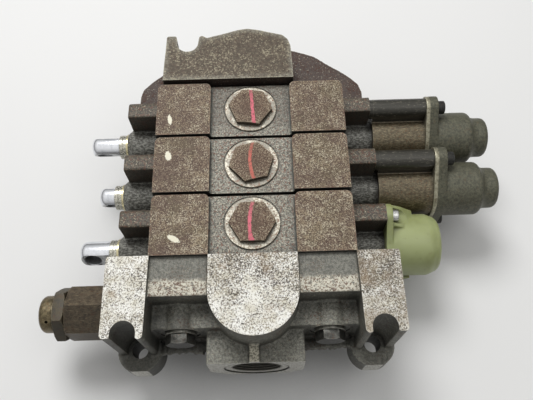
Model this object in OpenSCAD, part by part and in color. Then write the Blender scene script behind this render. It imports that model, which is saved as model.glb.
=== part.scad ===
// Sectional hydraulic directional control valve: an inlet section, three
// spool sections and an end section, clamped by tie bolts.
// +X runs along the spools towards the spring caps, +Y from the inlet to the
// end section, +Z up. X = 0 is the centre line of the stack, Y = 0 the joint
// face between the inlet and the nearest spool section (the third), Z = 0 the underside.

/* [Stack] */
// Thickness of one spool section along the stack
pitch = 44; // [43.6:0.2:45]
// Height of the milled top pads above the underside
body_h = 107; // [106.5:0.5:108]
// Height of the spool axes above the underside
axis_z = 53.5; // [53.2:0.1:53.8]
// Half width of a spool section's block
block_x = 65.7; // [65.3:0.1:66.5]
// Half width of the sunk channel between the top pads
channel_x = 28.3; // [27.8:0.1:29]
// Depth of the channel below the top pads
channel_d = 4.7; // [4.3:0.1:5]
// Gap between the top pads of neighbouring sections
pad_gap = 2; // [1.5:0.1:2.1]

/* [Spools] */
// Spool diameter
spool_d = 17.4; // [17.3:0.05:17.5]
// Radial running clearance of each spool in its bore
spool_gap = 0.04; // [0.02:0.01:0.08]
// Spool stroke each way from neutral
stroke = 10; // [8:0.5:10]
// Thickness of the flat tongue at the spool's outer end
tongue_t = 12.4; // [11.8:0.2:12.6]
// Diameter of the clevis pin hole through the tongue
eye_d = 11.5; // [10.5:0.5:11.5]
// Turn of the tongue of each spool about its own axis, first to third section
tongue_turn = [22, 17, -15];
// Rest position of each spool in strokes towards +X: the second one is held inwards
rest_position = [0, 1, 0];

/* [Spool bosses] */
// Radius of the round boss around each spool
boss_r = 13.5; // [13.4:0.1:13.8]
// Distance from the centre line to the machined boss face under the spring caps
boss_x = 91.5; // [91:0.25:92]
// Distance from the centre line to the face of the tapered boss on the tongue side
nose_x = 96.4; // [96:0.2:97]
// Offset along the stack of the two cap screws from the spool axis
ear_y = 12.5; // [12:0.25:13]
// Offset in height of the two cap screws from the spool axis
ear_z = 25; // [24.5:0.25:25.5]
// Radius of the lobes around the cap screws
ear_r = 8; // [7.6:0.1:8.2]

/* [Spring caps] */
// Outside diameter of the spring housings
housing_d = 38; // [37:0.5:38.5]
// Length of the spring housings
housing_l = 39.5; // [39.5:0.5:40]
// Diameter of the nose of the detent caps
nose_d = 30.2; // [29.4:0.2:30.6]

/* [Check valves] */
// Width across flats of the check valve plugs
plug_af = 27; // [26:0.5:28]
// Turn of each plug's hexagon, first to third section
plug_turn = [-8, 13, 0];

/* [Ports and feet] */
// Radius of the inlet port's threaded wall
port_r = 16; // [15.5:0.1:16.6]
// Radius of the work ports' threaded wall
work_r = 10.2; // [9.4:0.1:10.4]
// Distance of the work ports from the centre line
work_x = 27; // [26.5:0.5:27.5]
// Distance of the front feet from the centre line
foot_x = 78.4; // [78:0.2:79]
// Radius of the foot bolt holes
foot_r = 5.5; // [5.2:0.1:6]
// Height of the feet's underside and top
foot_z = [32, 54];

/* [Tie bolts] */
// Distance of the tie bolts from the centre line
tie_x = 48.5; // [48:0.1:49]
// Height of the lower and upper tie bolts
tie_z = [34, 73];
// Radius of the tie bolt shanks
tie_r = 5; // [4.8:0.1:5]

/* [Hidden] */
$fn = 64;
over = 1;                       // overrun of a cut past a face
fixed_gap = 0.05;               // clearance of parts fixed to each other
floor_z = body_h - channel_d;   // floor of the sunk channel
spot_z = floor_z - 0.5;         // spotface under a check plug
seat_z = 80;                    // check valve seat
chamber_z = 92;                 // top of the check valve chamber
tank_x = 41;                    // tank galleries
bridge_x = 13;                  // bridge passages
bridge_z = 85;                  // cross passage joining the bridge passages
gallery_z = 72;                 // pressure gallery
gallery_r = 5;
gallery_places = [[0, gallery_z], [-tank_x, axis_z], [tank_x, axis_z]];  // X, Z
groove_r = [6, 8];              // inner and outer radius of a gallery seal groove
tie_hole_r = tie_r + 0.5;
bear_y = [-33, -41.4];          // faces under the lower and upper tie bolt heads
right_ear = [88.5, 88.5, boss_x]; // outer ends of the right-hand ears, first to third section
seal_pocket_x = -91.5;          // outer end of the seal pocket on the tongue side
port_y = -62.3;                 // face of the inlet port
end_y = 3 * pitch;              // joint face of the end section
cross_y = 20;                   // cross gallery, from the joint face of the end section
plug_pocket = [70, 7];          // X and radius of the pocket closing the cross gallery
cap_x = boss_x + housing_l;     // outer end of a spring housing
relief_y = -22;                 // relief valve axis

NODES = ["inlet_section", "section_body_1", "section_body_2", "section_body_3", "end_section",
  "spool_1", "spool_2", "spool_3",
  "check_plug_1", "check_plug_2", "check_plug_3", "check_plug_seals",
  "check_poppet_1", "check_poppet_2", "check_poppet_3",
  "check_spring_1", "check_spring_2", "check_spring_3",
  "gallery_seals", "wiper_rings", "spool_seals",
  "spring_housing_1", "spring_housing_2", "housing_plates",
  "detent_cap_1", "detent_cap_2", "plastic_spring_cap",
  "cap_screws_long", "cap_screws_short",
  "centring_spring_1", "centring_spring_2", "centring_spring_3", "inner_spring_cups",
  "outer_spring_cup_1", "outer_spring_cup_2", "outer_spring_cup_3",
  "spool_sleeve_1", "spool_sleeve_2", "spool_sleeve_3",
  "detent_spindle_1", "detent_spindle_2", "spool_end_bolt",
  "detent_sleeves", "detent_balls", "detent_springs",
  "relief_body", "relief_seal", "relief_poppet", "relief_spring", "relief_adjuster",
  "relief_lock_nut", "relief_cap", "tie_bolts", "tie_bolt_washers", "gallery_plug"];
node = "all";

// ---------- helpers ----------
// centre of section i along the stack
function section_y(i) = (3 - i) * pitch + pitch / 2;
// shift of spool i at rest
function rest_shift(i) = rest_position[i - 1] * stroke;
function arc(x, y, radius, from, to, steps = 6) = [for (k = [0:steps])
  let (angle = from + (to - from) * k / steps)
  [x + radius * cos(angle), y + radius * sin(angle)]];

module along_x(x, radius, length, y = 0, z = 0)
  translate([x, y, z]) rotate([0, 90, 0]) cylinder(r = radius, h = length);
module along_y(x, y, z, radius, length)
  translate([x, y, z]) rotate([-90, 0, 0]) cylinder(r = radius, h = length);
module along_z(x, y, z, radius, length) translate([x, y, z]) cylinder(r = radius, h = length);
// a profile drawn in (Y, Z) pushed along +X from x
module push_x(x, length) translate([x, 0, 0]) rotate([90, 0, 90]) linear_extrude(length) children();
// a profile of (radius, X) points turned about the X axis
module turn_x(points) rotate([0, 90, 0]) rotate_extrude() polygon(points);
// origin on the spool axis of section i, at x
module at_spool(i, x = 0) translate([x, section_y(i), axis_z]) children();
// the two cap screw positions around a spool axis
module at_screws() for (side = [-1, 1]) translate([0, side * ear_y, side * ear_z]) children();
module screw_tubes(x, length, radius) at_screws() along_x(x, radius, length);
module hexagon(across) circle(d = across / cos(30), $fn = 6);
module hex_socket(x, corner_d, length)
  translate([x, 0, 0]) rotate([0, 90, 0]) cylinder(d = corner_d, h = length, $fn = 6);
// a hole square to the X axis, turned about it from upright
module cross_hole(x, radius, length, angle)
  rotate([angle, 0, 0]) translate([x, 0, 0]) cylinder(r = radius, h = length, center = true);
module ring(ring_r, wire_r) rotate_extrude() translate([ring_r, 0]) circle(r = wire_r, $fn = 24);

// share of a spring's rise at a share of its turns: slow in the two closed end turns
function coil_rise(part, turns) =
  let (end_part = 1 / turns, end_rise = 0.12)
  part < end_part ? end_rise * part * turns
  : part > 1 - end_part ? 1 - end_rise * (1 - part) * turns
  : end_rise + (1 - 2 * end_rise) * (part - end_part) / (1 - 2 * end_part);

// a helical spring about the X axis from 0 to length, with closed ends
module coil(length, mean_r, wire_r, turns, turn_steps = 16, sides = 8) {
  steps = turns * turn_steps;
  points = [for (i = [0:steps])
    let (part = i / steps, angle = 360 * turns * part,
      x = wire_r + (length - 2 * wire_r) * coil_rise(part, turns))
    for (k = [0:sides - 1])
      let (wire_angle = 360 * k / sides, radius = mean_r + wire_r * cos(wire_angle))
      [x + wire_r * sin(wire_angle), radius * cos(angle), radius * sin(angle)]];
  faces = concat(
    [for (i = [0:steps - 1], k = [0:sides - 1])
      let (here = i * sides + k, next = i * sides + (k + 1) % sides)
      each [[here, next, next + sides], [here, next + sides, here + sides]]],
    [[for (k = [sides - 1:-1:0]) k]],
    [[for (k = [0:sides - 1]) steps * sides + k]]);
  polyhedron(points, faces);
}

// ---------- spool sections ----------
pad_round = 4;      // corner radius of the top pads
ear_root = 2;       // depth the ears reach into the block
bore_groove = [12, 7];   // radius and width of the grooves around the spool bore
plug_r = 13;        // check plug thread
stem_r = 5;         // check poppet stem

module pad_outline() {
  corner_y = pitch / 2 - pad_gap - pad_round;
  polygon(concat([[channel_x, -pitch / 2], [block_x, -pitch / 2]],
    arc(block_x - pad_round, corner_y, pad_round, 0, 90),
    arc(channel_x + pad_round, corner_y, pad_round, 90, 180)));
}
// outline of one bolt ear in (Y, Z): upright front, flat top, round shoulder behind
module ear_outline() polygon(concat([[6, 3], [6, ear_z + 8], [6.5, ear_z + 8.5]],
  arc(ear_y + 2, ear_z + 2.5, 6, 90, 0, 8), [[ear_y + ear_r, ear_z - 6], [boss_r - 0.4, 5]]));

module section_blank(right_ear_x) {
  translate([-block_x, -pitch / 2, 0]) cube([2 * block_x, pitch, floor_z]);
  for (m = [0, 1]) mirror([m, 0, 0])
    translate([0, 0, floor_z - over]) linear_extrude(channel_d + over) pad_outline();
  translate([0, 0, axis_z]) {
    // boss, tapered towards its face on the tongue side
    turn_x([[0, -nose_x], [10, -nose_x], [boss_r, -nose_x + 4], [boss_r, boss_x], [0, boss_x]]);
    for (turn = [0, 180]) {
      push_x(block_x - ear_root, right_ear_x - block_x + ear_root) rotate(turn) ear_outline();
      push_x(-boss_x, boss_x - block_x + ear_root) rotate(turn) ear_outline();
    }
  }
}

// ring grooves around the galleries, sunk into the joint face at y
module seal_grooves(y) for (place = gallery_places) translate([place[0], y, place[1]])
  difference() {
    along_y(0, -over, 0, groove_r[1], 1.5 + over);
    along_y(0, -2, 0, groove_r[0], 5);
  }

// cuts around the spool axis
module spool_cuts() {
  seal_pocket_r = 11.9;
  screw_hole_l = 18;
  along_x(-nose_x - over, spool_d / 2 + spool_gap, nose_x + boss_x + 2 * over);
  along_x(-nose_x - over, 9.3, 3.4 + over);   // wiper pocket
  along_x(seal_pocket_x, seal_pocket_r, 3.5);
  along_x(boss_x - 4, seal_pocket_r, 4 + over);
  for (side = [-1, 1]) {
    for (x = [bridge_x, work_x, tank_x])
      along_x(side * x - bore_groove[1] / 2, bore_groove[0], bore_groove[1]);
    screw_tubes(side > 0 ? boss_x - screw_hole_l : -boss_x - over, screw_hole_l + over, 2.5);
  }
}
module check_valve_cuts() {
  bridge_end = 4.2;   // reach of the cross passage past the bridge passages
  along_x(-bridge_x - bridge_end, 3.6, 2 * (bridge_x + bridge_end), z = bridge_z);
  along_z(0, 0, gallery_z - 6, 5.5, 16);             // throat
  along_z(0, 0, seat_z, 9, chamber_z - seat_z + over);   // chamber
  along_z(0, 0, chamber_z, plug_r + fixed_gap, 20);  // plug thread
  along_z(0, 0, spot_z - 2, 15.1, 10);               // seal recess
  along_z(0, 0, spot_z, 19.3, 10);                   // spotface
}
module section_cuts() {
  translate([0, 0, axis_z]) spool_cuts();
  check_valve_cuts();
  for (place = gallery_places)
    along_y(place[0], -pitch / 2 - over, place[1], gallery_r, pitch + 2 * over);
  seal_grooves(-pitch / 2);
  for (side = [-1, 1]) {
    // work port from the underside: thread, spotface and passage
    along_z(side * work_x, 0, -over, work_r, 18 + over);
    along_z(side * work_x, 0, -over, 15, 0.6 + over);
    along_z(side * work_x, 0, 10, 6, axis_z - 10);
    // bridge passage from the check valve down to the spool
    along_z(side * bridge_x, 0, axis_z, 3.2, bridge_z - axis_z);
    for (z = tie_z)
      along_y(side * tie_x, -pitch / 2 - over, z, tie_hole_r, pitch + 2 * over);
  }
  // gap towards the next section, open to the top
  translate([-block_x - over, pitch / 2 - 2.2, floor_z - 6])
    cube([2 * (block_x + over), 4, 20]);
}
module section_body(i) color([0.42, 0.4, 0.37]) translate([0, section_y(i), 0]) difference() {
  section_blank(right_ear[i - 1]);
  section_cuts();
}

// ---------- inlet section ----------
foot_y = -48.5;     // front foot bolts
foot_pad_r = 15;
access_r = 7.8;     // bolt access down a front foot column
front_y = -70;      // start of cuts made from the front
counterbore_r = [11.5, 13.2];   // around the lower and upper tie bolt heads
relief_face_x = -93;

// boxes of the casting: corner, size
inlet_boxes = [
  [[-66, -23.5, 0], [132, 23.5, 104]],
  [[-66, bear_y[1], 46], [132, 30, 38]],
  [[-66, -38, 0], [132, 30, 60]]];
// boxes on both sides; the second is the parting line ledge under the upper tie bolt
inlet_side_boxes = [
  [[60, -40, 18], [32, 40, 60]],
  [[31, -49.5, 46.5], [32, 12, 8]]];
// inlet port boss in (X, -Z), with chamfered lower corners
port_boss = [[-31.5, -75.5], [31.5, -75.5], [31.5, -44], [20, -31], [-20, -31], [-31.5, -44]];
// bores of the relief valve cavity: start X, radius, length
relief_bores = [[relief_face_x, 11, 33], [relief_face_x, 13.1, 3], [-76, 14, 12], [-61, 4.5, 61]];

module boxes(table) for (box = table) translate(box[0]) cube(box[1]);
// the milled top of one front foot column: a notch lets the foot bolt pass
module column_outline() polygon(concat(
  [[block_x - 0.2, 0], [91.3, 0], [92.2, -1], [92.2, -50.2], [90.6, -51.5]],
  arc(foot_x, foot_y, access_r, -20, 200, 14), [[68.3, -52.2], [66.4, -50.5]]));

module inlet_blank() {
  boxes(inlet_boxes);
  for (m = [0, 1]) mirror([m, 0, 0]) {
    translate([0, 0, foot_z[1] - 6]) linear_extrude(body_h - foot_z[1] + 6) column_outline();
    along_z(foot_x, foot_y, foot_z[0], foot_pad_r, foot_z[1] - foot_z[0]);
    boxes(inlet_side_boxes);
  }
  // round-fronted top
  translate([0, 0, 60]) linear_extrude(body_h - 60) polygon(concat([[-channel_x, 0]],
    arc(0, -23.4, channel_x, 180, 360, 24), [[channel_x, 0]]));
  // inlet port boss and the rib above it
  translate([0, port_y, 0]) rotate([-90, 0, 0]) linear_extrude(30) polygon(port_boss);
  translate([-4.2, port_y, 70]) cube([6.6, 20, 9]);
}
module inlet_side_cuts(side) {
  along_y(side * tank_x, -8, axis_z, 4.5, 8 + over);
  for (k = [0, 1]) {
    along_y(side * tie_x, front_y, tie_z[k], tie_hole_r, 80);
    along_y(side * tie_x, front_y, tie_z[k], counterbore_r[k], bear_y[k] - front_y);
  }
  along_z(side * foot_x, foot_y, 20, foot_r, 60);
  // bolt access down the column, open to the front
  along_z(side * foot_x, foot_y, foot_z[1], access_r, 60);
  translate([side * foot_x - access_r, front_y, foot_z[1]])
    cube([2 * access_r, foot_y - front_y, 60]);
}
module inlet_section() color([0.75, 0.73, 0.69]) difference() {
  riser_y = -16;   // passage up to the pressure gallery
  inlet_blank();
  // flat across the fronts of the port boss and both feet
  translate([-120, port_y - 20, -over]) cube([240, 20, 200]);
  // inlet port, its spotface and its passages
  along_y(0, port_y - over, axis_z, port_r, 22 + over);
  along_y(0, port_y - over, axis_z, 21.5, 0.8 + over);
  along_y(0, -45, axis_z, 8, 33);
  along_z(0, riser_y, axis_z, gallery_r, gallery_z - axis_z);
  along_y(0, riser_y, gallery_z, gallery_r, over - riser_y);
  for (side = [-1, 1]) inlet_side_cuts(side);
  // relief valve cavity with its passage to the tank gallery
  for (bore = relief_bores) along_x(bore[0], bore[1], bore[2], relief_y, axis_z);
  along_y(-68, relief_y, axis_z, 4, 14);
  along_x(-68, 4, 27, -8, axis_z);
}

// ---------- end section ----------
rear_foot = [-45.6, 32.7];   // X, Y from the joint face
tank_port = [12, cross_y];   // X, Y from the joint face
// right half of the lower arched body: X, Y from the joint face
arch_half = [[0, 52], [17, 51], [33, 48], [42, 45], [51, 41], [63, 31.5], [70, 26.5],
  [77.5, 20], [83, 14], [85, 7], [85, 0]];
// tall block: X, Y from the joint face, with a notch around the rear foot bolt
crown = concat(
  [[-62.6, 0], [-61.2, 38.6], [-60.4, 39.4], [-54.6, 39.4], [-53.9, 38.6]],
  arc(rear_foot[0], rear_foot[1], 7.8, 170, 350, 10),
  [[-37.1, 38.4], [-35.1, 39.5], [-31.3, 37.1], [-17.1, 41.1], [-7.7, 44], [-1.4, 44.9],
   [5.9, 43.6], [24.6, 38.2], [28.6, 34.1], [30.5, 28.1], [31.3, 0]]);

module arch_outline() polygon(concat(
  [for (k = [len(arch_half) - 1:-1:1]) [-arch_half[k][0], arch_half[k][1]]], arch_half));

module end_section() color([0.4, 0.33, 0.29]) translate([0, end_y, 0]) difference() {
  union() {
    translate([0, 0, 12]) linear_extrude(67) arch_outline();
    translate([0, 0, 60]) linear_extrude(body_h + 2.5 - 60) polygon(crown);
    translate([-50, 0, 0]) cube([100, 38, 40]);
  }
  for (side = [-1, 1]) {
    for (z = tie_z) along_y(side * tie_x, -over, z, tie_r + fixed_gap, 17 + over);
    along_y(side * tank_x, -over, axis_z, gallery_r, cross_y + over);
  }
  seal_grooves(0);
  // cross gallery joining both tank galleries, closed at its outer end
  along_x(-tank_x - 4, 4.6, 130, cross_y, axis_z);
  along_x(plug_pocket[0], plug_pocket[1], 30, cross_y, axis_z);
  // tank port in the underside
  along_z(tank_port[0], tank_port[1], -over, port_r, 20 + over);
  along_z(tank_port[0], tank_port[1], 10, 8, axis_z - 10);
  // rear foot: bolt hole, access from above and recess from below
  along_z(rear_foot[0], rear_foot[1], -over, foot_r, 60);
  along_z(rear_foot[0], rear_foot[1], foot_z[1], 7.2, 60);
  along_z(rear_foot[0], rear_foot[1], -over, foot_pad_r, foot_z[0] + over);
}

// ---------- spools and what rides on them ----------
tip_x = -124.8;     // outer end of a neutral spool
eye_x = -116;       // clevis pin hole of a neutral spool
spool_end_x = 93;   // cap end of a neutral spool
neck_r = 6;         // necks between the spool lands
thread_r = 3.3;     // thread of the end screws
screw_bore_r = 3.4; // bores around the end screws
sleeve_l = [22.7, 22.7, 17.7];   // spool sleeves, first to third section
cup_t = 2.4;        // thickness of an outer spring cup
cup_r = 13.9;       // outer radius of the spring cups

// inner face of the outer spring cup on neutral spool i
function cup_x(i) = spool_end_x + sleeve_l[i - 1] + 0.1;

module spool(i) color([0.82, 0.84, 0.86]) at_spool(i, rest_shift(i)) difference() {
  spool_r = spool_d / 2;
  turn_x([[0, tip_x], [4.4, tip_x], [6.4, tip_x + 0.6], [7.9, tip_x + 2], [spool_r, tip_x + 4.4],
    [spool_r, -36.5], [neck_r, -34.5], [neck_r, -19.5], [spool_r, -17.5],
    [spool_r, 17.5], [neck_r, 19.5], [neck_r, 34.5], [spool_r, 36.5],
    [spool_r, spool_end_x - 1], [spool_r - 0.8, spool_end_x], [0, spool_end_x]]);
  rotate([tongue_turn[i - 1], 0, 0]) {
    // flats of the tongue and the clevis pin hole
    for (turn = [0, 180]) rotate([turn, 0, 0])
      translate([-130, tongue_t / 2, -20]) cube([28, 20, 40]);
    cross_hole(eye_x, eye_d / 2, 30, 90);
  }
  along_x(spool_end_x - 20, screw_bore_r, 30);
}

// shank and head of an end screw, then its grooved detent rod or plain rounded end
module end_screw(i, end_points) color([0.6, 0.6, 0.6]) at_spool(i, rest_shift(i)) {
  head_x = cup_x(i) + cup_t + 0.2;
  start_x = spool_end_x - 19;
  turn_x(concat([[0, start_x], [thread_r, start_x], [thread_r, head_x], [6.5, head_x]],
    end_points));
}
// detent rod: radius, X
detent_rod = [[6.5, 123], [4, 124], [4, 140.8], [3.2, 141.6], [3.2, 143], [4, 143.8],
  [4, 150.8], [3.2, 151.6], [3.2, 153], [4, 153.8], [4, 158], [3.2, 159], [0, 159]];
module detent_spindle(i) end_screw(i, detent_rod);
module spool_end_bolt() end_screw(3, [[6.5, 117], [5.5, 117.9], [0, 117.9]]);

module spool_sleeve(i) color([0.55, 0.55, 0.55])
  at_spool(i, rest_shift(i) + spool_end_x) turn_x([[screw_bore_r, 0], [6.5, 0],
    [6.5, sleeve_l[i - 1]], [screw_bore_r, sleeve_l[i - 1]]]);

module outer_spring_cup(i) color([0.5, 0.5, 0.48]) at_spool(i, rest_shift(i) + cup_x(i))
  turn_x([[screw_bore_r, 0], [9.2, 0], [9.2, -5], [10.2, -5], [10.2, 0.4],
    [cup_r, 0.4], [cup_r, cup_t], [screw_bore_r, cup_t]]);

module inner_spring_cups() color([0.5, 0.5, 0.48]) for (i = [1:3]) at_spool(i, boss_x)
  turn_x([[9.5, 0.1], [cup_r, 0.1], [cup_r, 2], [10.3, 2], [10.3, 3.5], [9.5, 3.5]]);

module centring_spring(i) color([0.55, 0.56, 0.58]) {
  start_x = boss_x + 2.05;
  end_x = cup_x(i) + rest_shift(i) + 0.15;
  at_spool(i, start_x) coil(end_x - start_x, mean_r = 12, wire_r = 1.2, turns = 5);
}

// ---------- caps on the right-hand bosses ----------
plate_t = 2.7;          // housing plate
detent_flange_t = 6.3;
plastic_flange_t = 4.5;
flange_r = 20;          // round middle of the plates and detent cap flanges
lobe_r = 8.5;           // flange lobes around the cap screws
spring_room_r = 15;     // room around a centring spring
screw_room_r = 3.2;     // holes for the long cap screws
shank_r = 2.45;         // cap screw shanks

module flange(middle_r) {
  circle(r = middle_r);
  for (turn = [0, 180]) rotate(turn) polygon(concat([[ear_y - lobe_r, 4]],
    arc(ear_y, ear_z, lobe_r, 180, 0, 12), [[ear_y + lobe_r, ear_z - 5], [middle_r - 1.5, 4]]));
}

module spring_housing(i) color([0.42, 0.4, 0.31]) at_spool(i, boss_x) difference() {
  ear_x = right_ear[i - 1] - boss_x;
  union() {
    along_x(0, housing_d / 2, housing_l);
    push_x(0, housing_l) for (turn = [0, 180]) rotate(turn) polygon(concat([[ear_y - 6.6, 8]],
      arc(ear_y, ear_z, 7.4, 170, -20, 12), [[12, 12]]));
    // the screw tubes reach past the boss face to the ears
    screw_tubes(ear_x + fixed_gap, 2 - ear_x, 7.3);
  }
  along_x(-over, spring_room_r, housing_l + 2 * over);
  screw_tubes(-5, housing_l + 6, screw_room_r);
}
module housing_plates() color([0.62, 0.6, 0.5]) for (i = [1, 2]) at_spool(i, cap_x)
  difference() {
    push_x(0, plate_t) flange(flange_r);
    along_x(-over, 13.5, 6);
    screw_tubes(-over, 6, screw_room_r);
  }
module detent_cap(i) color([0.3, 0.3, 0.25]) at_spool(i, cap_x) difference() {
  nose_r = nose_d / 2;
  nose_round = 3.6;
  union() {
    push_x(plate_t, detent_flange_t) flange(flange_r);
    turn_x(concat([[0, 8], [19.7, 8]], arc(15.7, 33.4, 4, 0, 60, 5),
      [[16.2, 38], [15.4, 39.6], [nose_r, 41.5]],
      arc(nose_r - nose_round, 46.4, nose_round, 0, 90, 6), [[0, 50]]));
  }
  along_x(0, 12.5, 30);
  along_x(0, 8.5, 44);
  screw_tubes(0, 12, screw_room_r);
}
module plastic_spring_cap() color([0.6, 0.63, 0.42]) at_spool(3, boss_x) difference() {
  union() {
    push_x(0, plastic_flange_t) flange(21);
    // webs that carry the ears onto the cup
    push_x(0, 12) for (turn = [0, 180]) rotate(turn)
      polygon([[2, 20], [9, 27], [15, 20], [20, 9]]);
    turn_x([[0, 0], [22, 0], [22, 31], [21.4, 33], [20.2, 35], [19.6, 37], [18, 38.8],
      [15, 39.5], [0, 39.5]]);
  }
  along_x(-over, spring_room_r, 38);
  screw_tubes(-over, 15, 2.6);
  screw_tubes(plastic_flange_t, 15, 5.4);
}

// socket head screws, drawn from the face under the head
module cap_screws_long() color([0.2, 0.2, 0.19]) for (i = [1, 2])
  at_spool(i, cap_x + plate_t + detent_flange_t) at_screws() difference() {
    turn_x([[0, -66], [shank_r, -66], [shank_r, 0], [5, 0], [5, 5.3], [4.3, 6], [0, 6]]);
    hex_socket(3, 5.6, 5);
  }
// cross recess screws, drawn from the face under the head
module cap_screws_short() color([0.78, 0.78, 0.78])
  at_spool(3, boss_x + plastic_flange_t) at_screws() difference() {
    turn_x([[0, -16.5], [shank_r, -16.5], [shank_r, 0], [4.3, 0], [4.3, 4.1], [3.4, 5], [0, 5]]);
    for (angle = [0, 90]) rotate([angle, 0, 0]) translate([3.4, -0.5, -2.4]) cube([3, 1, 4.8]);
  }

// ---------- detent parts inside the two long caps ----------
ball_x = 21.3;   // plane of the detent balls, from the end of the spring housing

module detent_sleeves() color([0.5, 0.5, 0.5]) for (i = [1, 2]) at_spool(i, cap_x)
  difference() {
    turn_x([[5, 14], [12.4, 14], [12.4, 16], [8.4, 16], [8.4, 30], [5, 30]]);
    for (angle = [0, 90]) cross_hole(ball_x, 2.6, 30, angle);
  }
module detent_balls() color([0.75, 0.75, 0.76]) for (i = [1, 2], angle = [0:90:270])
  at_spool(i, cap_x + ball_x) rotate([angle, 0, 0]) translate([0, 0, 6.6])
    sphere(r = 2.4, $fn = 32);
// each spring drawn as three rings side by side
module detent_springs() color([0.6, 0.6, 0.6]) for (i = [1, 2], k = [0:2])
  at_spool(i, cap_x + 17.2 + k * 2.6) rotate([0, 90, 0]) ring(10.5, 1);

// ---------- check valves ----------
poppet_t = 3;   // thickness of the poppet's flange

module check_plug(i) color([0.38, 0.31, 0.26]) translate([0, section_y(i), 0]) difference() {
  hex_z = spot_z + 1;
  hex_h = 3.8;
  union() {
    along_z(0, 0, chamber_z, plug_r, spot_z - chamber_z + 0.5);
    along_z(0, 0, spot_z, 18.3, 1.2);
    rotate(plug_turn[i - 1]) intersection() {
      translate([0, 0, hex_z]) linear_extrude(hex_h) hexagon(plug_af);
      translate([0, 0, hex_z]) cylinder(r1 = 21, r2 = 13.8, h = hex_h);
    }
  }
  along_z(0, 0, chamber_z - over, stem_r + spool_gap, 8 + over);
}
module check_plug_seals() color([0.08, 0.08, 0.08]) for (i = [1:3])
  translate([0, section_y(i), spot_z - 1]) ring(14.1, 0.9);
module check_poppet(i) color([0.7, 0.7, 0.7]) translate([0, section_y(i), 0]) rotate_extrude()
  polygon([[0, seat_z - 3], [3.5, seat_z - 3], [5.4, seat_z], [8, seat_z + 0.02],
    [8, seat_z + poppet_t], [stem_r, seat_z + poppet_t], [stem_r, chamber_z + 3.5],
    [4.4, chamber_z + 4.1], [0, chamber_z + 4.1]]);
module check_spring(i) color([0.6, 0.6, 0.6])
  translate([0, section_y(i), seat_z + poppet_t + 0.05]) rotate([0, -90, 0])
    coil(chamber_z - seat_z - poppet_t - 0.1, mean_r = 6.5, wire_r = 0.7, turns = 4,
      turn_steps = 12, sides = 6);

// ---------- seals ----------
module gallery_seals() color([0.08, 0.08, 0.08]) for (k = [0:3], place = gallery_places)
  translate([place[0], k * pitch + 0.76, place[1]]) rotate([90, 0, 0])
    ring((groove_r[0] + groove_r[1]) / 2, 0.72);
module wiper_rings() color([0.7, 0.62, 0.35]) for (i = [1:3]) at_spool(i, -nose_x)
  turn_x([[8.8, -6.9], [9.2, -6.9], [9.2, -1.2], [9.95, -1.2], [9.95, -0.05],
    [9.2, -0.05], [9.2, 3.3], [8.8, 3.3]]);
module spool_seals() color([0.1, 0.1, 0.1]) for (i = [1:3]) {
  at_spool(i, seal_pocket_x) turn_x([[8.85, 0.1], [11.8, 0.1], [11.8, 3.4], [10.6, 3.4],
    [10.1, 1.9], [8.85, 3.1]]);
  at_spool(i, boss_x) turn_x([[8.85, -0.1], [11.8, -0.1], [11.8, -3.9], [10.6, -3.9],
    [10.2, -2.4], [8.85, -3.6]]);
}

// ---------- relief valve cartridge ----------
adjuster_bore_r = 6.05;   // bore of the body and the lock nut around the adjuster
nut_x = -136;             // outer face of the lock nut

module at_relief(x = 0) translate([x, relief_y, axis_z]) children();
module relief_hex(x, turn, length) translate([x, 0, 0]) rotate([turn, 0, 0])
  rotate([0, 90, 0]) rotate(30) linear_extrude(length) hexagon(33);

module relief_body() color([0.33, 0.28, 0.23]) at_relief() difference() {
  union() {
    along_x(-94.2, 15.5, 1.95);
    intersection() {
      relief_hex(-128, 27, 34.5);
      turn_x([[0, -128], [16.4, -128], [19.2, -125.6], [19.2, -93.5], [0, -93.5]]);
    }
    along_x(relief_face_x, 11 - fixed_gap, 33);
  }
  along_x(-118, 7, 54);
  along_x(-129, adjuster_bore_r, 20);
  along_x(-70, 4, 20);
  for (angle = [0, 90]) cross_hole(-70, 2.5, 40, angle);
}
module relief_seal() color([0.08, 0.08, 0.08]) at_relief(-91) rotate([0, 90, 0])
  ring(12.1, 0.95);
module relief_poppet() color([0.7, 0.7, 0.7]) at_relief()
  turn_x([[0, -61.5], [2.6, -61.5], [3.9, -64.05], [6.96, -64.05], [6.96, -66.4],
    [5.2, -67.4], [5.2, -73], [6.96, -74], [6.96, -80], [3.5, -80], [3.5, -84], [0, -84]]);
module relief_spring() color([0.6, 0.6, 0.6]) at_relief(-109.9)
  coil(29.8, mean_r = 5.3, wire_r = 1, turns = 6, turn_steps = 12, sides = 6);
module relief_adjuster() color([0.5, 0.5, 0.5]) at_relief() difference() {
  turn_x([[0, -110], [6.6, -110], [6.6, -112], [6, -112.5], [6, -143], [5, -144], [0, -144]]);
  hex_socket(-145, 6.9, 6);
}
module relief_lock_nut() color([0.36, 0.3, 0.22]) at_relief() difference() {
  intersection() {
    relief_hex(nut_x, -3, 7.5);
    turn_x([[0, nut_x], [16.8, nut_x], [19.2, -134.4], [19.2, -129.8], [17.4, -128.5],
      [0, -128.5]]);
  }
  along_x(-140, adjuster_bore_r, 20);
}
module relief_cap() color([0.42, 0.35, 0.25]) at_relief() difference() {
  turn_x(concat([[0, nut_x], [12.8, nut_x]], arc(8.8, -143.3, 4, 0, -90), [[0, -147.3]]));
  along_x(-144.4, 7, 10);
  cross_hole(-141, 1.1, 40, 55);
}

// ---------- fasteners of the stack ----------
// the faces under the lower (k = 0) or upper (k = 1) pair of tie bolt heads
module at_ties(k) for (side = [-1, 1])
  translate([side * tie_x, bear_y[k], tie_z[k]]) children();

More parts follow.
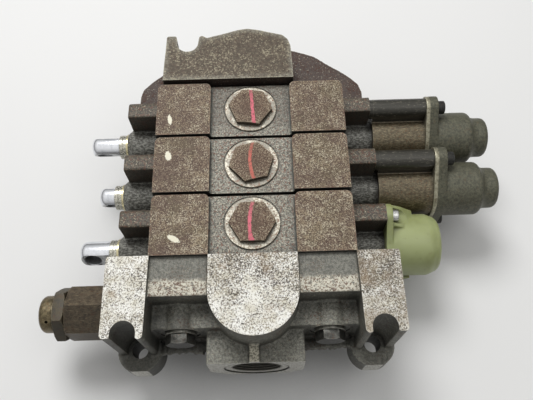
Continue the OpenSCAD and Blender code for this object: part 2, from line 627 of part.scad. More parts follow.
module tie_bolts() color([0.35, 0.35, 0.34]) for (k = [0, 1]) at_ties(k) {
  head_h = 6.4;
  along_y(0, -5, 0, tie_r, 5 - bear_y[k] + end_y + 15);
  translate([0, -8.5, 0]) rotate([-90, 0, 0]) intersection() {
    rotate(30) linear_extrude(head_h) hexagon(17);
    cylinder(r1 = 8.8, r2 = 17, h = head_h);
  }
}
module tie_bolt_washers() color([0.5, 0.5, 0.48]) for (k = [0, 1]) at_ties(k) difference() {
  along_y(0, -2 - fixed_gap, 0, 10.2, 2);
  along_y(0, -3, 0, tie_r + 0.25, 4);
}
module gallery_plug() color([0.35, 0.35, 0.34])
  translate([plug_pocket[0] + 0.2, end_y + cross_y, axis_z]) difference() {
    along_x(0, plug_pocket[1] - fixed_gap, 6);
    hex_socket(3, 6.9, 5);
  }

function on(name) = node == "all" || node == name;

if (on("inlet_section")) inlet_section();
if (on("section_body_1")) section_body(1);
if (on("section_body_2")) section_body(2);
if (on("section_body_3")) section_body(3);
if (on("end_section")) end_section();
if (on("spool_1")) spool(1);
if (on("spool_2")) spool(2);
if (on("spool_3")) spool(3);
if (on("check_plug_1")) check_plug(1);
if (on("check_plug_2")) check_plug(2);
if (on("check_plug_3")) check_plug(3);
if (on("check_plug_seals")) check_plug_seals();
if (on("check_poppet_1")) check_poppet(1);
if (on("check_poppet_2")) check_poppet(2);
if (on("check_poppet_3")) check_poppet(3);
if (on("check_spring_1")) check_spring(1);
if (on("check_spring_2")) check_spring(2);
if (on("check_spring_3")) check_spring(3);
if (on("gallery_seals")) gallery_seals();
if (on("wiper_rings")) wiper_rings();
if (on("spool_seals")) spool_seals();
if (on("spring_housing_1")) spring_housing(1);
if (on("spring_housing_2")) spring_housing(2);
if (on("housing_plates")) housing_plates();
if (on("detent_cap_1")) detent_cap(1);
if (on("detent_cap_2")) detent_cap(2);
if (on("plastic_spring_cap")) plastic_spring_cap();
if (on("cap_screws_long")) cap_screws_long();
if (on("cap_screws_short")) cap_screws_short();
if (on("centring_spring_1")) centring_spring(1);
if (on("centring_spring_2")) centring_spring(2);
if (on("centring_spring_3")) centring_spring(3);
if (on("inner_spring_cups")) inner_spring_cups();
if (on("outer_spring_cup_1")) outer_spring_cup(1);
if (on("outer_spring_cup_2")) outer_spring_cup(2);
if (on("outer_spring_cup_3")) outer_spring_cup(3);
if (on("spool_sleeve_1")) spool_sleeve(1);
if (on("spool_sleeve_2")) spool_sleeve(2);
if (on("spool_sleeve_3")) spool_sleeve(3);
if (on("detent_spindle_1")) detent_spindle(1);
if (on("detent_spindle_2")) detent_spindle(2);
if (on("spool_end_bolt")) spool_end_bolt();
if (on("detent_sleeves")) detent_sleeves();
if (on("detent_balls")) detent_balls();
if (on("detent_springs")) detent_springs();
if (on("relief_body")) relief_body();
if (on("relief_seal")) relief_seal();
if (on("relief_poppet")) relief_poppet();
if (on("relief_spring")) relief_spring();
if (on("relief_adjuster")) relief_adjuster();
if (on("relief_lock_nut")) relief_lock_nut();
if (on("relief_cap")) relief_cap();
if (on("tie_bolts")) tie_bolts();
if (on("tie_bolt_washers")) tie_bolt_washers();
if (on("gallery_plug")) gallery_plug();
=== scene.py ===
"""A worn, rusty stack of three spool valve sections.

The stack runs along Y: the inlet section in front (-Y), sections 3, 2 and 1 behind it, and the
end section at the back (+Y). The spools lie along X, their flattened ends on the left (-X)
and their caps on the right (+X). Z is up. Lengths are in mm; make() scales them to metres.
"""
import math
import random
from functools import cached_property

import bmesh
import bpy
from mathutils import Matrix, Vector


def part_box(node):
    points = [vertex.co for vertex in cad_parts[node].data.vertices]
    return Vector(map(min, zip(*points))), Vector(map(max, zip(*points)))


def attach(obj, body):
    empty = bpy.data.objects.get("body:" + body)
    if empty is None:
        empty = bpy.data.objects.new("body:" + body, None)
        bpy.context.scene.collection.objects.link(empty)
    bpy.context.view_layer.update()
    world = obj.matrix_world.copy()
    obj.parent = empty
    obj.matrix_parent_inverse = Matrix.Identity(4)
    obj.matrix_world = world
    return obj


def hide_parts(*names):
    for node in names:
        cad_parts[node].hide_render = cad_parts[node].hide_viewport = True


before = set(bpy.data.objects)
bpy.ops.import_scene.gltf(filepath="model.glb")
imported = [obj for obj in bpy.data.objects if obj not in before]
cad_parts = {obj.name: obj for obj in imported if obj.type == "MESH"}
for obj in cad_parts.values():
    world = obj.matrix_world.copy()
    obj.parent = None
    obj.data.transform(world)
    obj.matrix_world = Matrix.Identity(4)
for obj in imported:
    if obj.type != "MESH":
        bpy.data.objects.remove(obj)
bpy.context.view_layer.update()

random.seed(7)
MM = 0.001

# Voxel sizes of the castings
VOXEL = 0.75
SMALL_VOXEL = 0.6
PLASTIC_VOXEL = 0.5


# ---------------------------------------------------------------- sizes taken from the frame
def mm_box(node):
    low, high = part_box(node)
    return [v / MM for v in low], [v / MM for v in high]


body = mm_box("section_body_3")
TOP = round(body[1][2], 3)
BOSS_X = round(body[1][0], 3)       # right end of the spool bosses
NOSE_X = round(-body[0][0], 3)      # their left end, as a distance from the middle

rings = mm_box("wiper_rings")
AXIS_Z = round((rings[0][2] + rings[1][2]) / 2, 3)

spool_box = mm_box("spool_3")
SPOOL_R = round((spool_box[1][1] - spool_box[0][1]) / 2, 2)
SPOOL_TIP = round(spool_box[0][0], 3)

inlet_box = mm_box("inlet_section")
PORT_Y = round(inlet_box[0][1], 3)
INLET_X = round(inlet_box[1][0], 3)

end_box = mm_box("end_section")
END_Y = round(end_box[0][1], 3)
END_TOP = round(end_box[1][2], 3)

# Washers stand this far off the seats of the tie bolts, at their back and front faces
WASHER_R, WASHER_BACK, WASHER_FRONT = 10.2, 0.05, 2.05
washers = mm_box("tie_bolt_washers")
TIE_X = round(washers[1][0] - WASHER_R, 3)
TIE_Z = [round(washers[0][2] + WASHER_R, 3), round(washers[1][2] - WASHER_R, 3)]
TIE_SEAT = [round(washers[1][1] + WASHER_BACK, 3), round(washers[0][1] + WASHER_FRONT, 3)]

PITCH = 44.0
CHANNEL_Z = TOP - 4.7               # floor of the channel between the top pads
CHANNEL_X = 28.3                    # half its width
SPOT_Z = CHANNEL_Z - 0.5            # round seats of the hexagon plugs
EAR_Y, EAR_Z = 12.5, 25.0           # screws of a cap, measured from the spool axis
EAR_CUT = 88.5                      # face of the ears of sections 1 and 2
CAP_X = mm_box("housing_plates")[0][0]
FOOT_R, FOOT_SLOT_R = 15.0, 7.8
FOOT_X, FOOT_Y = INLET_X - FOOT_R, -48.5
RELIEF_Y = -22.0


def section_y(i):
    return (3 - i) * PITCH + PITCH / 2


def ear(y, side):
    """Centre (y, z) of the upper (1) or lower (-1) screw of the cap at y."""
    return y + side * EAR_Y, AXIS_Z + side * EAR_Z


# ---------------------------------------------------------------- solids: (vertices, faces)
def arc(cx, cy, radius, start, end, steps=8):
    angles = [math.radians(start + (end - start) * k / steps) for k in range(steps + 1)]
    return [(cx + radius * math.cos(a), cy + radius * math.sin(a)) for a in angles]


def hexagon(across, centre, turn):
    """Corners of a hexagon, from its size across the flats."""
    return arc(*centre, across / math.sqrt(3), turn, turn + 360, 6)[:-1]


def mirrored(outline, side):
    return [(side * x, y) for x, y in outline]


def place(axis, along, u, v):
    """A point from its place along an axis and its two other coordinates, in x, y, z order."""
    return {"x": (along, u, v), "y": (u, along, v), "z": (u, v, along)}[axis]


def prism(outline, axis, start, end):
    n = len(outline)
    points = [place(axis, a, *p) for a in (start, end) for p in outline]
    faces = [[k, (k + 1) % n, n + (k + 1) % n, n + k] for k in range(n)]
    return points, faces + [list(range(n))[::-1], list(range(n, 2 * n))]


def box(x0, x1, y0, y1, z0, z1):
    return prism([(x0, y0), (x1, y0), (x1, y1), (x0, y1)], "z", z0, z1)


def side_box(side, near, far, *limits):
    """A box from near to far on the left (-1) or right (1)."""
    return box(*sorted((side * near, side * far)), *limits)


def lathe(profile, axis, centre, segments, loop=False):
    """profile: (radius, place along the axis); loop joins its last point to its first."""
    points, faces, rows = [], [], []
    for radius, along in profile:
        if radius < 1e-6:
            rows.append([len(points)])
            points.append(place(axis, along, *centre))
            continue
        rows.append(list(range(len(points), len(points) + segments)))
        for k in range(segments):
            a = 2 * math.pi * k / segments
            points.append(place(axis, along, centre[0] + radius * math.cos(a),
                                centre[1] + radius * math.sin(a)))
    for j in range(len(rows) if loop else len(rows) - 1):
        low, high = rows[j], rows[(j + 1) % len(rows)]
        for k in range(segments):
            after = (k + 1) % segments
            if len(low) == 1 and len(high) == 1:
                continue
            if len(low) == 1:
                faces.append([low[0], high[k], high[after]])
            elif len(high) == 1:
                faces.append([low[k], high[0], low[after]])
            else:
                faces.append([low[k], high[k], high[after], low[after]])
    return points, faces


def cylinder(axis, centre, radius, start, end, segments=64):
    profile = [(0, start), (radius, start), (radius, end), (0, end)]
    return lathe(profile, axis, centre, segments)


def ring(axis, centre, inner, outer, start, end, segments=64):
    profile = [(inner, start), (outer, start), (outer, end), (inner, end)]
    return lathe(profile, axis, centre, segments, loop=True)


def ear_pair(y, radius, start, end, segments=32):
    return [cylinder("x", ear(y, side), radius, start, end, segments) for side in (-1, 1)]


def turned(solid, axis, degrees, centre):
    back = Matrix.Translation([-v for v in centre])
    turn = Matrix.Rotation(math.radians(degrees), 4, axis.upper())
    move = Matrix.Translation(centre) @ turn @ back
    return [tuple(move @ Vector(p)) for p in solid[0]], solid[1]


# ---------------------------------------------------------------- meshes
def make(name, solids):
    bm = bmesh.new()
    for points, faces in solids:
        verts = [bm.verts.new(p) for p in points]
        made = [bm.faces.new([verts[k] for k in face]) for face in faces]
        bmesh.ops.recalc_face_normals(bm, faces=made)
    bmesh.ops.scale(bm, vec=(MM, MM, MM), verts=bm.verts)
    mesh = bpy.data.meshes.new(name)
    bm.to_mesh(mesh)
    bm.free()
    piece = bpy.data.objects.new(name, mesh)
    bpy.context.scene.collection.objects.link(piece)
    return piece


def bake(piece):
    """Turn the modifiers into plain mesh."""
    graph = bpy.context.evaluated_depsgraph_get()
    mesh = bpy.data.meshes.new_from_object(piece.evaluated_get(graph))
    piece.modifiers.clear()
    old = piece.data
    piece.data = mesh
    mesh.name = piece.name
    bpy.data.meshes.remove(old)


def boolean(piece, *solids, op="DIFFERENCE"):
    """Cut away, keep or add the union of the solids."""
    cutter = make("cutter", solids[:1])
    for solid in solids[1:]:
        boolean(cutter, solid, op="UNION")
    modifier = piece.modifiers.new("cut", "BOOLEAN")
    modifier.operation = op
    modifier.object = cutter
    modifier.solver = "MANIFOLD"
    bake(piece)
    mesh = cutter.data
    bpy.data.objects.remove(cutter)
    bpy.data.meshes.remove(mesh)


CLOUDS = {}


def clouds(size):
    if size not in CLOUDS:
        texture = bpy.data.textures.new("lumps", "CLOUDS")
        texture.noise_scale = size * MM
        texture.noise_depth = 2
        CLOUDS[size] = texture
    return CLOUDS[size]


def cast(name, solids, smooth, voxel=VOXEL, lump=0.25, lump_size=7.0):
    """A rough casting: overlapping solids are fused, corners rounded, the skin made uneven.

    smooth counts the smoothing passes at a voxel of 0.75 mm.
    """
    piece = make(name, solids)
    fuse = piece.modifiers.new("fuse", "REMESH")
    fuse.mode = "VOXEL"
    fuse.voxel_size = voxel * MM
    soften = piece.modifiers.new("round", "SMOOTH")
    soften.factor = 0.5
    soften.iterations = max(1, round(smooth * (0.75 / voxel) ** 2))
    if lump:
        skin = piece.modifiers.new("skin", "DISPLACE")
        skin.texture = clouds(lump_size)
        skin.texture_coords = "LOCAL"
        skin.mid_level = 0.5
        skin.strength = lump * MM
    bake(piece)
    return piece


def sharpen(piece, degrees=30):
    """Smooth shading, with sharp edges where faces meet at more than this angle."""
    bm = bmesh.new()
    bm.from_mesh(piece.data)
    bmesh.ops.remove_doubles(bm, verts=bm.verts, dist=2e-6)
    bmesh.ops.dissolve_degenerate(bm, edges=bm.edges, dist=1e-6)
    limit = math.radians(degrees)
    for face in bm.faces:
        face.smooth = True
    for edge in bm.edges:
        edge.smooth = len(edge.link_faces) == 2 and edge.calc_face_angle(0) <= limit
    bm.to_mesh(piece.data)
    bm.free()
    return piece


def bevelled(piece, width, segments, degrees=30):
    bevel = piece.modifiers.new("edge", "BEVEL")
    bevel.width = width * MM
    bevel.segments = segments
    bevel.limit_method = "ANGLE"
    bevel.angle_limit = math.radians(degrees)
    bevel.use_clamp_overlap = True
    bake(piece)
    return sharpen(piece, 50)


def joined(name, pieces):
    bpy.ops.object.select_all(action="DESELECT")
    for piece in pieces:
        piece.select_set(True)
    bpy.context.view_layer.objects.active = pieces[0]
    bpy.ops.object.join()
    pieces[0].name = name
    pieces[0].data.name = name
    return pieces[0]


def finish(piece, material, node, rides="valve_stack"):
    piece.data.materials.clear()
    piece.data.materials.append(material)
    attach(piece, rides)
    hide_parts(node)


# ---------------------------------------------------------------- shader kit
# Colours are sRGB, 0 to 255.
def linear(rgb):
    parts = [v / 255 for v in rgb]
    return [v / 12.92 if v <= 0.04045 else ((v + 0.055) / 1.055) ** 2.4 for v in parts] + [1.0]


def connect(tree, node, inputs):
    """inputs: what each socket gets, a plain value or the Value or socket that drives it."""
    for key, value in inputs.items():
        if isinstance(value, Value):
            value = value.socket
        if isinstance(value, bpy.types.NodeSocket):
            tree.links.new(value, node.inputs[key])
        else:
            node.inputs[key].default_value = value


def add_node(tree, kind, inputs={}, **settings):
    node = tree.nodes.new(kind)
    for key, setting in settings.items():
        setattr(node, key, setting)
    connect(tree, node, inputs)
    return node


def operation(name, swapped=False):
    def apply(self, other=0.0):
        pair = (other, self) if swapped else (self, other)
        return self.shader.math(name, *pair)
    return apply


class Value:
    """The output of a shader node. Arithmetic on it adds Math nodes."""

    def __init__(self, shader, socket):
        self.shader = shader
        self.socket = socket

    __add__ = operation("ADD")
    __sub__ = operation("SUBTRACT")
    __rsub__ = operation("SUBTRACT", swapped=True)
    __mul__ = operation("MULTIPLY")
    __truediv__ = operation("DIVIDE")
    __pow__ = operation("POWER")
    __abs__ = operation("ABSOLUTE")
    sqrt = operation("SQRT")
    max = operation("MAXIMUM")

    def rise(self, start, end):
        """0 up to start, 1 from end on, smooth between."""
        return self.shader.value("ShaderNodeMapRange", {0: self, 1: start, 2: end},
                                 interpolation_type="SMOOTHSTEP")

    def fall(self, start, end):
        return 1.0 - self.rise(start, end)

    def between(self, low, high):
        """From low to high as this mask goes from 0 to 1."""
        return self.shader.value("ShaderNodeMix", {0: self, 2: low, 3: high},
                                 data_type="FLOAT")

    def colours(self, low, high):
        """From one colour to another as this mask goes from 0 to 1."""
        low, high = [linear(c) if isinstance(c, tuple) else c for c in (low, high)]
        return self.shader.value("ShaderNodeMix", {0: self, 6: low, 7: high}, output=2,
                                 data_type="RGBA")

    def coat(self, colour, mask, amount=None):
        """This colour with another laid over it where the mask is 1."""
        return (mask if amount is None else mask * amount).colours(self, colour)

    def worn_edges(self, colour, amount, radius, gain=6.0, scale=0.6, span=(0.3, 0.6)):
        patches = self.shader.noise(scale=scale, seed=31).rise(*span)
        return self.coat(colour, self.shader.edge(radius, gain) * patches, amount)

    # Painted shade: darkens corners and recesses by ambient occlusion
    def recess_shade(self, colour, amount, reach, span=(0.2, 0.95)):
        return self.coat(colour, 1.0 - self.shader.openness(reach, span), amount)

    def bump(self, strength, depth, over=None):
        inputs = {"Strength": strength, "Distance": depth * MM, "Height": self}
        if over is not None:
            inputs["Normal"] = over
        return self.shader.value("ShaderNodeBump", inputs)


class Shader:
    """A Principled material worked out in object coordinates, in mm."""

    def __init__(self, name):
        self.material = bpy.data.materials.new(name)
        self.material.use_nodes = True
        self.tree = self.material.node_tree
        self.tree.nodes.clear()
        self.principled = add_node(self.tree, "ShaderNodeBsdfPrincipled")
        add_node(self.tree, "ShaderNodeOutputMaterial", {0: self.principled.outputs[0]})

    def value(self, kind, inputs={}, output=0, **settings):
        return Value(self, add_node(self.tree, kind, inputs, **settings).outputs[output])

    def split(self, vector):
        node = add_node(self.tree, "ShaderNodeSeparateXYZ", {0: vector})
        return [Value(self, socket) for socket in node.outputs]

    @cached_property
    def position(self):
        place = self.value("ShaderNodeTexCoord", output="Object")
        return self.value("ShaderNodeVectorMath", {0: place, 3: 1 / MM}, operation="SCALE")

    @cached_property
    def xyz(self):
        return self.split(self.position)

    @cached_property
    def geometry(self):
        return add_node(self.tree, "ShaderNodeNewGeometry")

    @cached_property
    def normal(self):
        return self.split(self.geometry.outputs["True Normal"])

    x = property(lambda self: self.xyz[0])
    y = property(lambda self: self.xyz[1])
    z = property(lambda self: self.xyz[2])
    ny = property(lambda self: self.normal[1])
    nz = property(lambda self: self.normal[2])

    def math(self, name, first, second=0.0, clamp=False):
        return self.value("ShaderNodeMath", {0: first, 1: second, 2: 0.0},
                          operation=name, use_clamp=clamp)

    def noise(self, scale, detail=3, rough=0.6, seed=0, stretch=(1, 1, 1)):
        """Noise with scale features per mm; the seed shifts it."""
        place = self.value("ShaderNodeMapping", {
            0: self.position, "Location": (seed, seed * 1.7, seed * 0.6), "Scale": stretch})
        return self.value("ShaderNodeTexNoise", {
            "Vector": place, "Scale": scale, "Detail": detail, "Roughness": rough},
            output="Fac")

    def speck(self, scale, span, seed, detail=3, rough=0.62):
        """Speckles where the noise rises through the span."""
        return self.noise(scale, detail, rough, seed).rise(*span)

    def edge(self, radius, gain):
        """Bright where two faces meet at a corner."""
        rounded = self.value("ShaderNodeBevel", {0: radius * MM}, samples=6)
        facing = self.value("ShaderNodeVectorMath",
                            {0: rounded, 1: self.geometry.outputs["Normal"]},
                            output="Value", operation="DOT_PRODUCT")
        return self.math("MULTIPLY", 1.0 - facing, gain, clamp=True)

    def openness(self, reach, span):
        """Dark in corners and recesses: the mask for painted shade there."""
        open_part = self.value("ShaderNodeAmbientOcclusion", {"Distance": reach * MM},
                               output="AO", samples=6)
        return open_part.rise(*span)

    def milled(self, height):
        """The level faces at this height."""
        return self.z.rise(height - 0.35, height - 0.1) * self.nz.rise(0.9, 0.97)

    def done(self, colour, rough, metal, normal, **extra):
        inputs = {"Base Color": colour, "Roughness": rough, "Metallic": metal, "Normal": normal}
        inputs.update({key.replace("_", " "): value for key, value in extra.items()})
        connect(self.tree, self.principled, inputs)
        return self.material


# ---------------------------------------------------------------- cast iron
def cast_skin(m, dark, light, rust, rusty, seed=0):
    """As-cast grey with rust freckles and painted shade on the faces that don't look up: its
    colour, roughness and height.
    """
    patches = m.noise(scale=0.06, seed=seed)
    mottle = m.noise(scale=0.55, detail=4, rough=0.65, seed=seed + 3)
    grain = m.noise(scale=2.2, rough=0.7, seed=seed + 9)
    up = m.nz.rise(-0.2, 0.9)
    skin = (mottle * 0.45 + grain * 0.55).rise(0.40, 0.62).colours(dark, light)
    # Painted shade: faces that don't look up are darkened
    skin = skin.coat((30, 30, 27), 1.0 - up, amount=0.5)
    pale = m.speck(scale=0.8, span=(0.60, 0.66), seed=seed + 41)
    skin = skin.coat((168, 162, 142), pale, amount=0.6)
    freckles = m.noise(scale=0.8, detail=4, rough=0.7, seed=seed + 21) * 0.7 + patches * 0.3
    freckles = freckles.rise(0.60 - rusty * 0.12, 0.66 - rusty * 0.06)
    skin = skin.coat(rust, freckles, amount=0.75)
    skin = skin.coat((70, 64, 54), patches.rise(0.5, 0.75), amount=0.25)
    return skin, freckles.between(0.55, 0.85), mottle * 0.6 + grain * 0.4


def ear_colour(m):
    """Ears and bosses: oily dark olive with rust and worn tops, and painted shade on the faces
    that don't look up.
    """
    colour = m.speck(scale=0.9, span=(0.42, 0.6), seed=203, detail=4, rough=0.7).colours(
        (44, 40, 32), (98, 88, 73))
    rust = m.speck(scale=0.45, span=(0.52, 0.6), seed=211)
    colour = colour.coat((92, 58, 42), rust, amount=0.75)
    worn = m.speck(scale=0.9, span=(0.60, 0.65), seed=217) * m.nz.rise(0.3, 0.9)
    colour = colour.coat((166, 156, 134), worn)
    # The round bosses are scraped to bare grey metal, in streaks round them
    low = abs(m.z - AXIS_Z).fall(13.6, 15.0)
    streaks = m.noise(scale=0.9, rough=0.7, seed=231, stretch=(0.5, 1.4, 0.5))
    bare = streaks.rise(0.42, 0.62).colours((74, 73, 67), (150, 149, 141))
    stains = m.speck(scale=0.4, span=(0.52, 0.62), seed=239)
    bare = bare.coat((52, 48, 40), stains, amount=0.7)
    colour = colour.coat(bare, low)
    # Painted shade on the faces that don't look up
    return colour.coat((22, 21, 17), m.nz.fall(-0.1, 0.7), amount=0.45)


def channel_colour(m):
    """Sunk channel: bluish grey with cream and rust specks."""
    colour = m.speck(scale=0.5, span=(0.42, 0.58), seed=3).colours(
        (88, 86, 77), (138, 136, 125))
    for speck_colour, scale, span, seed, amount in (
            ((196, 190, 170), 1.0, (0.54, 0.59), 23, 0.75),
            ((104, 60, 40), 0.75, (0.56, 0.60), 71, 0.85),
            ((46, 38, 30), 1.1, (0.59, 0.63), 171, 0.8)):
        colour = colour.coat(speck_colour, m.speck(scale, span, seed), amount)
    return colour.coat((62, 54, 46), m.y.rise(86.0, 104.0), amount=0.45)


def pad_colour(m):
    """Milled top pads: rusted brown with cream freckles; also returns the freckles."""
    colour = m.speck(scale=0.5, span=(0.38, 0.62), seed=11, detail=4, rough=0.7).colours(
        (70, 51, 40), (98, 81, 66))
    patches = m.speck(scale=0.05, span=(0.46, 0.6), seed=7)
    colour = colour.coat((88, 78, 55), patches, amount=0.5)
    # Freckles are sparse on the far left pad and thickest on the nearest section
    density = m.y.fall(20.0, 70.0) * 0.016 + m.x.rise(-58.0, -34.0) * 0.022
    freckles = (m.noise(scale=1.25, detail=4, rough=0.74, seed=40) * 0.8
                + m.noise(scale=0.07, seed=45) * 0.2 + (density - 0.024)).rise(0.512, 0.552)
    cream = m.speck(scale=0.3, span=(0.4, 0.6), seed=97).colours(
        (200, 191, 166), (160, 145, 118))
    colour = colour.coat(cream, freckles, amount=0.72)
    dark = m.speck(scale=0.9, span=(0.57, 0.62), seed=60)
    colour = colour.coat((60, 38, 28), dark, amount=0.85)
    rim = m.edge(radius=2.4, gain=3.2) * m.speck(scale=0.28, span=(0.42, 0.6), seed=83)
    return colour.coat((112, 64, 42), rim, amount=0.7), freckles


# Paint dabs on the left pads: centre x and y, half length in x and y, turn in degrees
DABS = [
    (-56.4, 100.1, 1.5, 4.2, 8),
    (-56.3, 71.1, 2.2, 3.8, 12),
    (-50.3, 10.8, 4.6, 1.9, -32),
]


def dab_mask(m, i):
    x, y, half_x, half_y, turn = DABS[i]
    dx = m.x - x
    dy = m.y - y
    cos, sin = math.cos(math.radians(turn)), math.sin(math.radians(turn))
    u = (dx * cos + dy * sin) / half_x
    v = (dy * cos - dx * sin) / half_y
    ragged = (m.noise(scale=0.9, rough=0.7, seed=13 + i) - 0.5) * 2.2
    return (u * u + v * v + ragged).fall(0.75, 1.05)


def section_iron():
    m = Shader("section_cast_iron")
    skin, rough, height = cast_skin(m, dark=(78, 80, 76), light=(142, 144, 138),
                                    rust=(104, 64, 44), rusty=0.45)
    skin = skin.coat(ear_colour(m), abs(m.x).rise(66.2, 66.8), amount=0.92)
    channel = (m.nz.rise(0.85, 0.97) * m.z.rise(CHANNEL_Z - 1.2, CHANNEL_Z - 0.5)
               * m.z.fall(CHANNEL_Z + 0.8, CHANNEL_Z + 1.6))
    skin = skin.coat(channel_colour(m), channel, amount=0.95)
    flat = m.milled(TOP)
    pad, freckles = pad_colour(m)
    skin = skin.coat(pad, flat)
    for i in range(len(DABS)):
        skin = skin.coat((224, 220, 200), dab_mask(m, i) * flat, amount=0.92)
    skin = skin.worn_edges((160, 154, 136), amount=0.45, radius=0.7, gain=5.0,
                           span=(0.35, 0.6))
    # Painted shade in corners and recesses
    skin = skin.recess_shade((18, 16, 14), amount=0.8, reach=7, span=(0.25, 0.95))
    # Painted shade: the narrow gaps between the blocks are nearly black
    gap_shade = abs(m.ny).rise(0.7, 0.9) * m.z.rise(CHANNEL_Z - 7, CHANNEL_Z - 6)
    skin = skin.coat((16, 14, 13), gap_shade, amount=0.6)
    normal = height.bump(strength=0.6, depth=0.35)
    normal = freckles.bump(strength=0.3, depth=0.08, over=normal)
    return m.done(skin, flat.between(rough, 0.62), flat.between(0.12, 0.18), normal)


def inlet_top_colour(m):
    """Milled top: pale, densely pitted olive brown; also returns the pits."""
    colour = m.speck(scale=0.12, span=(0.38, 0.66), seed=3, detail=4).colours(
        (230, 229, 223), (208, 204, 190))
    right = m.x.rise(55.0, 66.0)
    back = m.y.rise(-44.0, -6.0) * m.x.rise(-50.0, -30.0).between(0.15, 1.0)
    more = right * 0.014 + back * 0.04
    pits = (m.noise(scale=1.0, detail=4, rough=0.72, seed=8) * 0.8
            + m.noise(scale=0.08, seed=18) * 0.2 + more).rise(0.524, 0.564)
    colour = colour.coat((112, 99, 72), pits, amount=0.82)
    dark_pits = (m.noise(scale=1.05, detail=4, rough=0.72, seed=91) * 0.8
                 + m.noise(scale=0.09, seed=96) * 0.2 + more).rise(0.545, 0.575)
    colour = colour.coat((50, 39, 27), dark_pits, amount=0.95)
    stain = m.speck(scale=0.055, span=(0.42, 0.6), seed=33) * right
    colour = colour.coat((120, 100, 74), stain, amount=0.5)
    colour = colour.coat((120, 114, 98), right, amount=0.14)
    stain = m.speck(scale=0.06, span=(0.58, 0.7), seed=133)
    return colour.coat((140, 116, 86), stain, amount=0.35), pits


def inlet_iron():
    m = Shader("inlet_cast_iron")
    skin, rough, height = cast_skin(m, dark=(76, 76, 69), light=(146, 145, 134),
                                    rust=(104, 66, 46), rusty=0.3, seed=14)
    skin = skin.coat((34, 35, 31), m.z.fall(46.0, 64.0), amount=0.42)
    skin = skin.coat((70, 69, 64), m.z.rise(100.0, 103.0), amount=0.25)
    # The left foot and the walls of its notch are oily
    oily = m.x.fall(-43.0, -39.0) * m.z.fall(95.0, 102.0) * m.y.fall(-34.0, -30.0)
    skin = skin.coat((30, 30, 26), oily, amount=0.5)
    top = m.milled(TOP)
    top_colour, pits = inlet_top_colour(m)
    skin = skin.coat(top_colour, top)
    # Worn band on the front edge of the two sunk shelves
    ragged = m.y + m.noise(scale=0.35, seed=71) * 6.0
    band = m.y.rise(-26.6, -25.6) * ragged.fall(-14.5, -10.5)
    band = band * m.z.rise(102.0, 103.4) * (1.0 - top) * m.nz.rise(0.55, 0.9)
    worn = m.speck(scale=0.9, span=(0.5, 0.58), seed=15, detail=4, rough=0.72).colours(
        (200, 196, 180), (104, 84, 64))
    rust = m.speck(scale=0.6, span=(0.56, 0.6), seed=25)
    worn = worn.coat((88, 56, 42), rust, amount=0.8)
    skin = skin.coat(worn, band * m.speck(scale=0.5, span=(0.3, 0.48), seed=29))
    # Milled port face, painted shade on the rim of its recess, and the bore
    face = m.y.fall(PORT_Y + 0.95, PORT_Y + 1.1) * (m.ny * -1.0).rise(0.9, 0.97)
    face_colour = m.speck(scale=0.9, span=(0.48, 0.62), seed=44).colours(
        (184, 183, 177), (112, 107, 94))
    skin = skin.coat(face_colour, face)
    radius = (m.x * m.x + abs(m.z - AXIS_Z) ** 2.0).sqrt()
    rim = (radius.rise(20.9, 21.2) * radius.fall(21.9, 22.2)
           * m.y.fall(PORT_Y + 1.2, PORT_Y + 1.5))
    # Painted shade: the wall of the recess is darkened
    skin = skin.coat((28, 28, 26), rim, amount=0.85)
    bore = radius.fall(16.95, 17.1) * m.y.fall(PORT_Y + 25, PORT_Y + 26)
    skin = skin.coat((96, 94, 88), bore, amount=0.8)
    # Worn top of the rib over the port
    rib = (m.nz.rise(0.35, 0.75) * abs(m.x + 0.9).fall(3.2, 3.8) * m.y.fall(-52.0, -50.5)
           * m.z.rise(76.0, 77.5))
    rib_colour = m.speck(scale=0.8, span=(0.42, 0.56), seed=301).colours(
        (106, 102, 88), (206, 200, 180))
    skin = skin.coat(rib_colour, rib, amount=0.8)
    skin = skin.worn_edges((176, 172, 158), amount=0.5, radius=0.7, gain=5.0, scale=0.5)
    # Painted shade in corners and recesses
    skin = skin.recess_shade((14, 14, 12), amount=0.75, reach=14)
    normal = height.bump(strength=0.65, depth=0.4)
    normal = pits.bump(strength=0.35, depth=0.06, over=normal)
    machined = top.max(face.max(bore))
    return m.done(skin, machined.between(rough, 0.5), face.max(bore).between(0.1, 0.55), normal)


def end_iron():
    m = Shader("end_cast_iron")
    skin, rough, height = cast_skin(m, dark=(44, 31, 26), light=(72, 56, 46),
                                    rust=(70, 36, 24), rusty=0.9, seed=27)
    top = m.milled(END_TOP)
    colour = m.speck(scale=0.35, span=(0.4, 0.62), seed=3, detail=4, rough=0.66).colours(
        (62, 53, 40), (88, 77, 62))
    patches = m.noise(scale=0.16, detail=4, rough=0.65, seed=9).rise(0.28, 0.5)
    bare = m.speck(scale=0.5, span=(0.4, 0.6), seed=17).colours(
        (112, 109, 97), (148, 145, 131))
    colour = colour.coat(bare, m.edge(radius=8.0, gain=9.0) * patches, amount=0.75)
    freckles = (m.noise(scale=0.8, rough=0.66, seed=8) * 0.7
                + m.noise(scale=0.08, seed=13) * 0.3).rise(0.535, 0.58)
    colour = colour.coat((160, 152, 128), freckles, amount=0.62)
    rust = m.speck(scale=0.7, span=(0.55, 0.60), seed=51)
    colour = colour.coat((62, 42, 30), rust, amount=0.8)
    skin = skin.coat(colour, top)
    skin = skin.worn_edges((184, 180, 162), amount=0.6, radius=1.1, scale=0.4,
                           span=(0.25, 0.5))
    # Painted shade in corners and recesses
    skin = skin.recess_shade((20, 16, 14), amount=0.75, reach=12)
    normal = height.bump(strength=0.65, depth=0.4)
    normal = freckles.bump(strength=0.25, depth=0.06, over=normal)
    return m.done(skin, top.between(rough, 0.6), top.between(0.1, 0.2), normal)


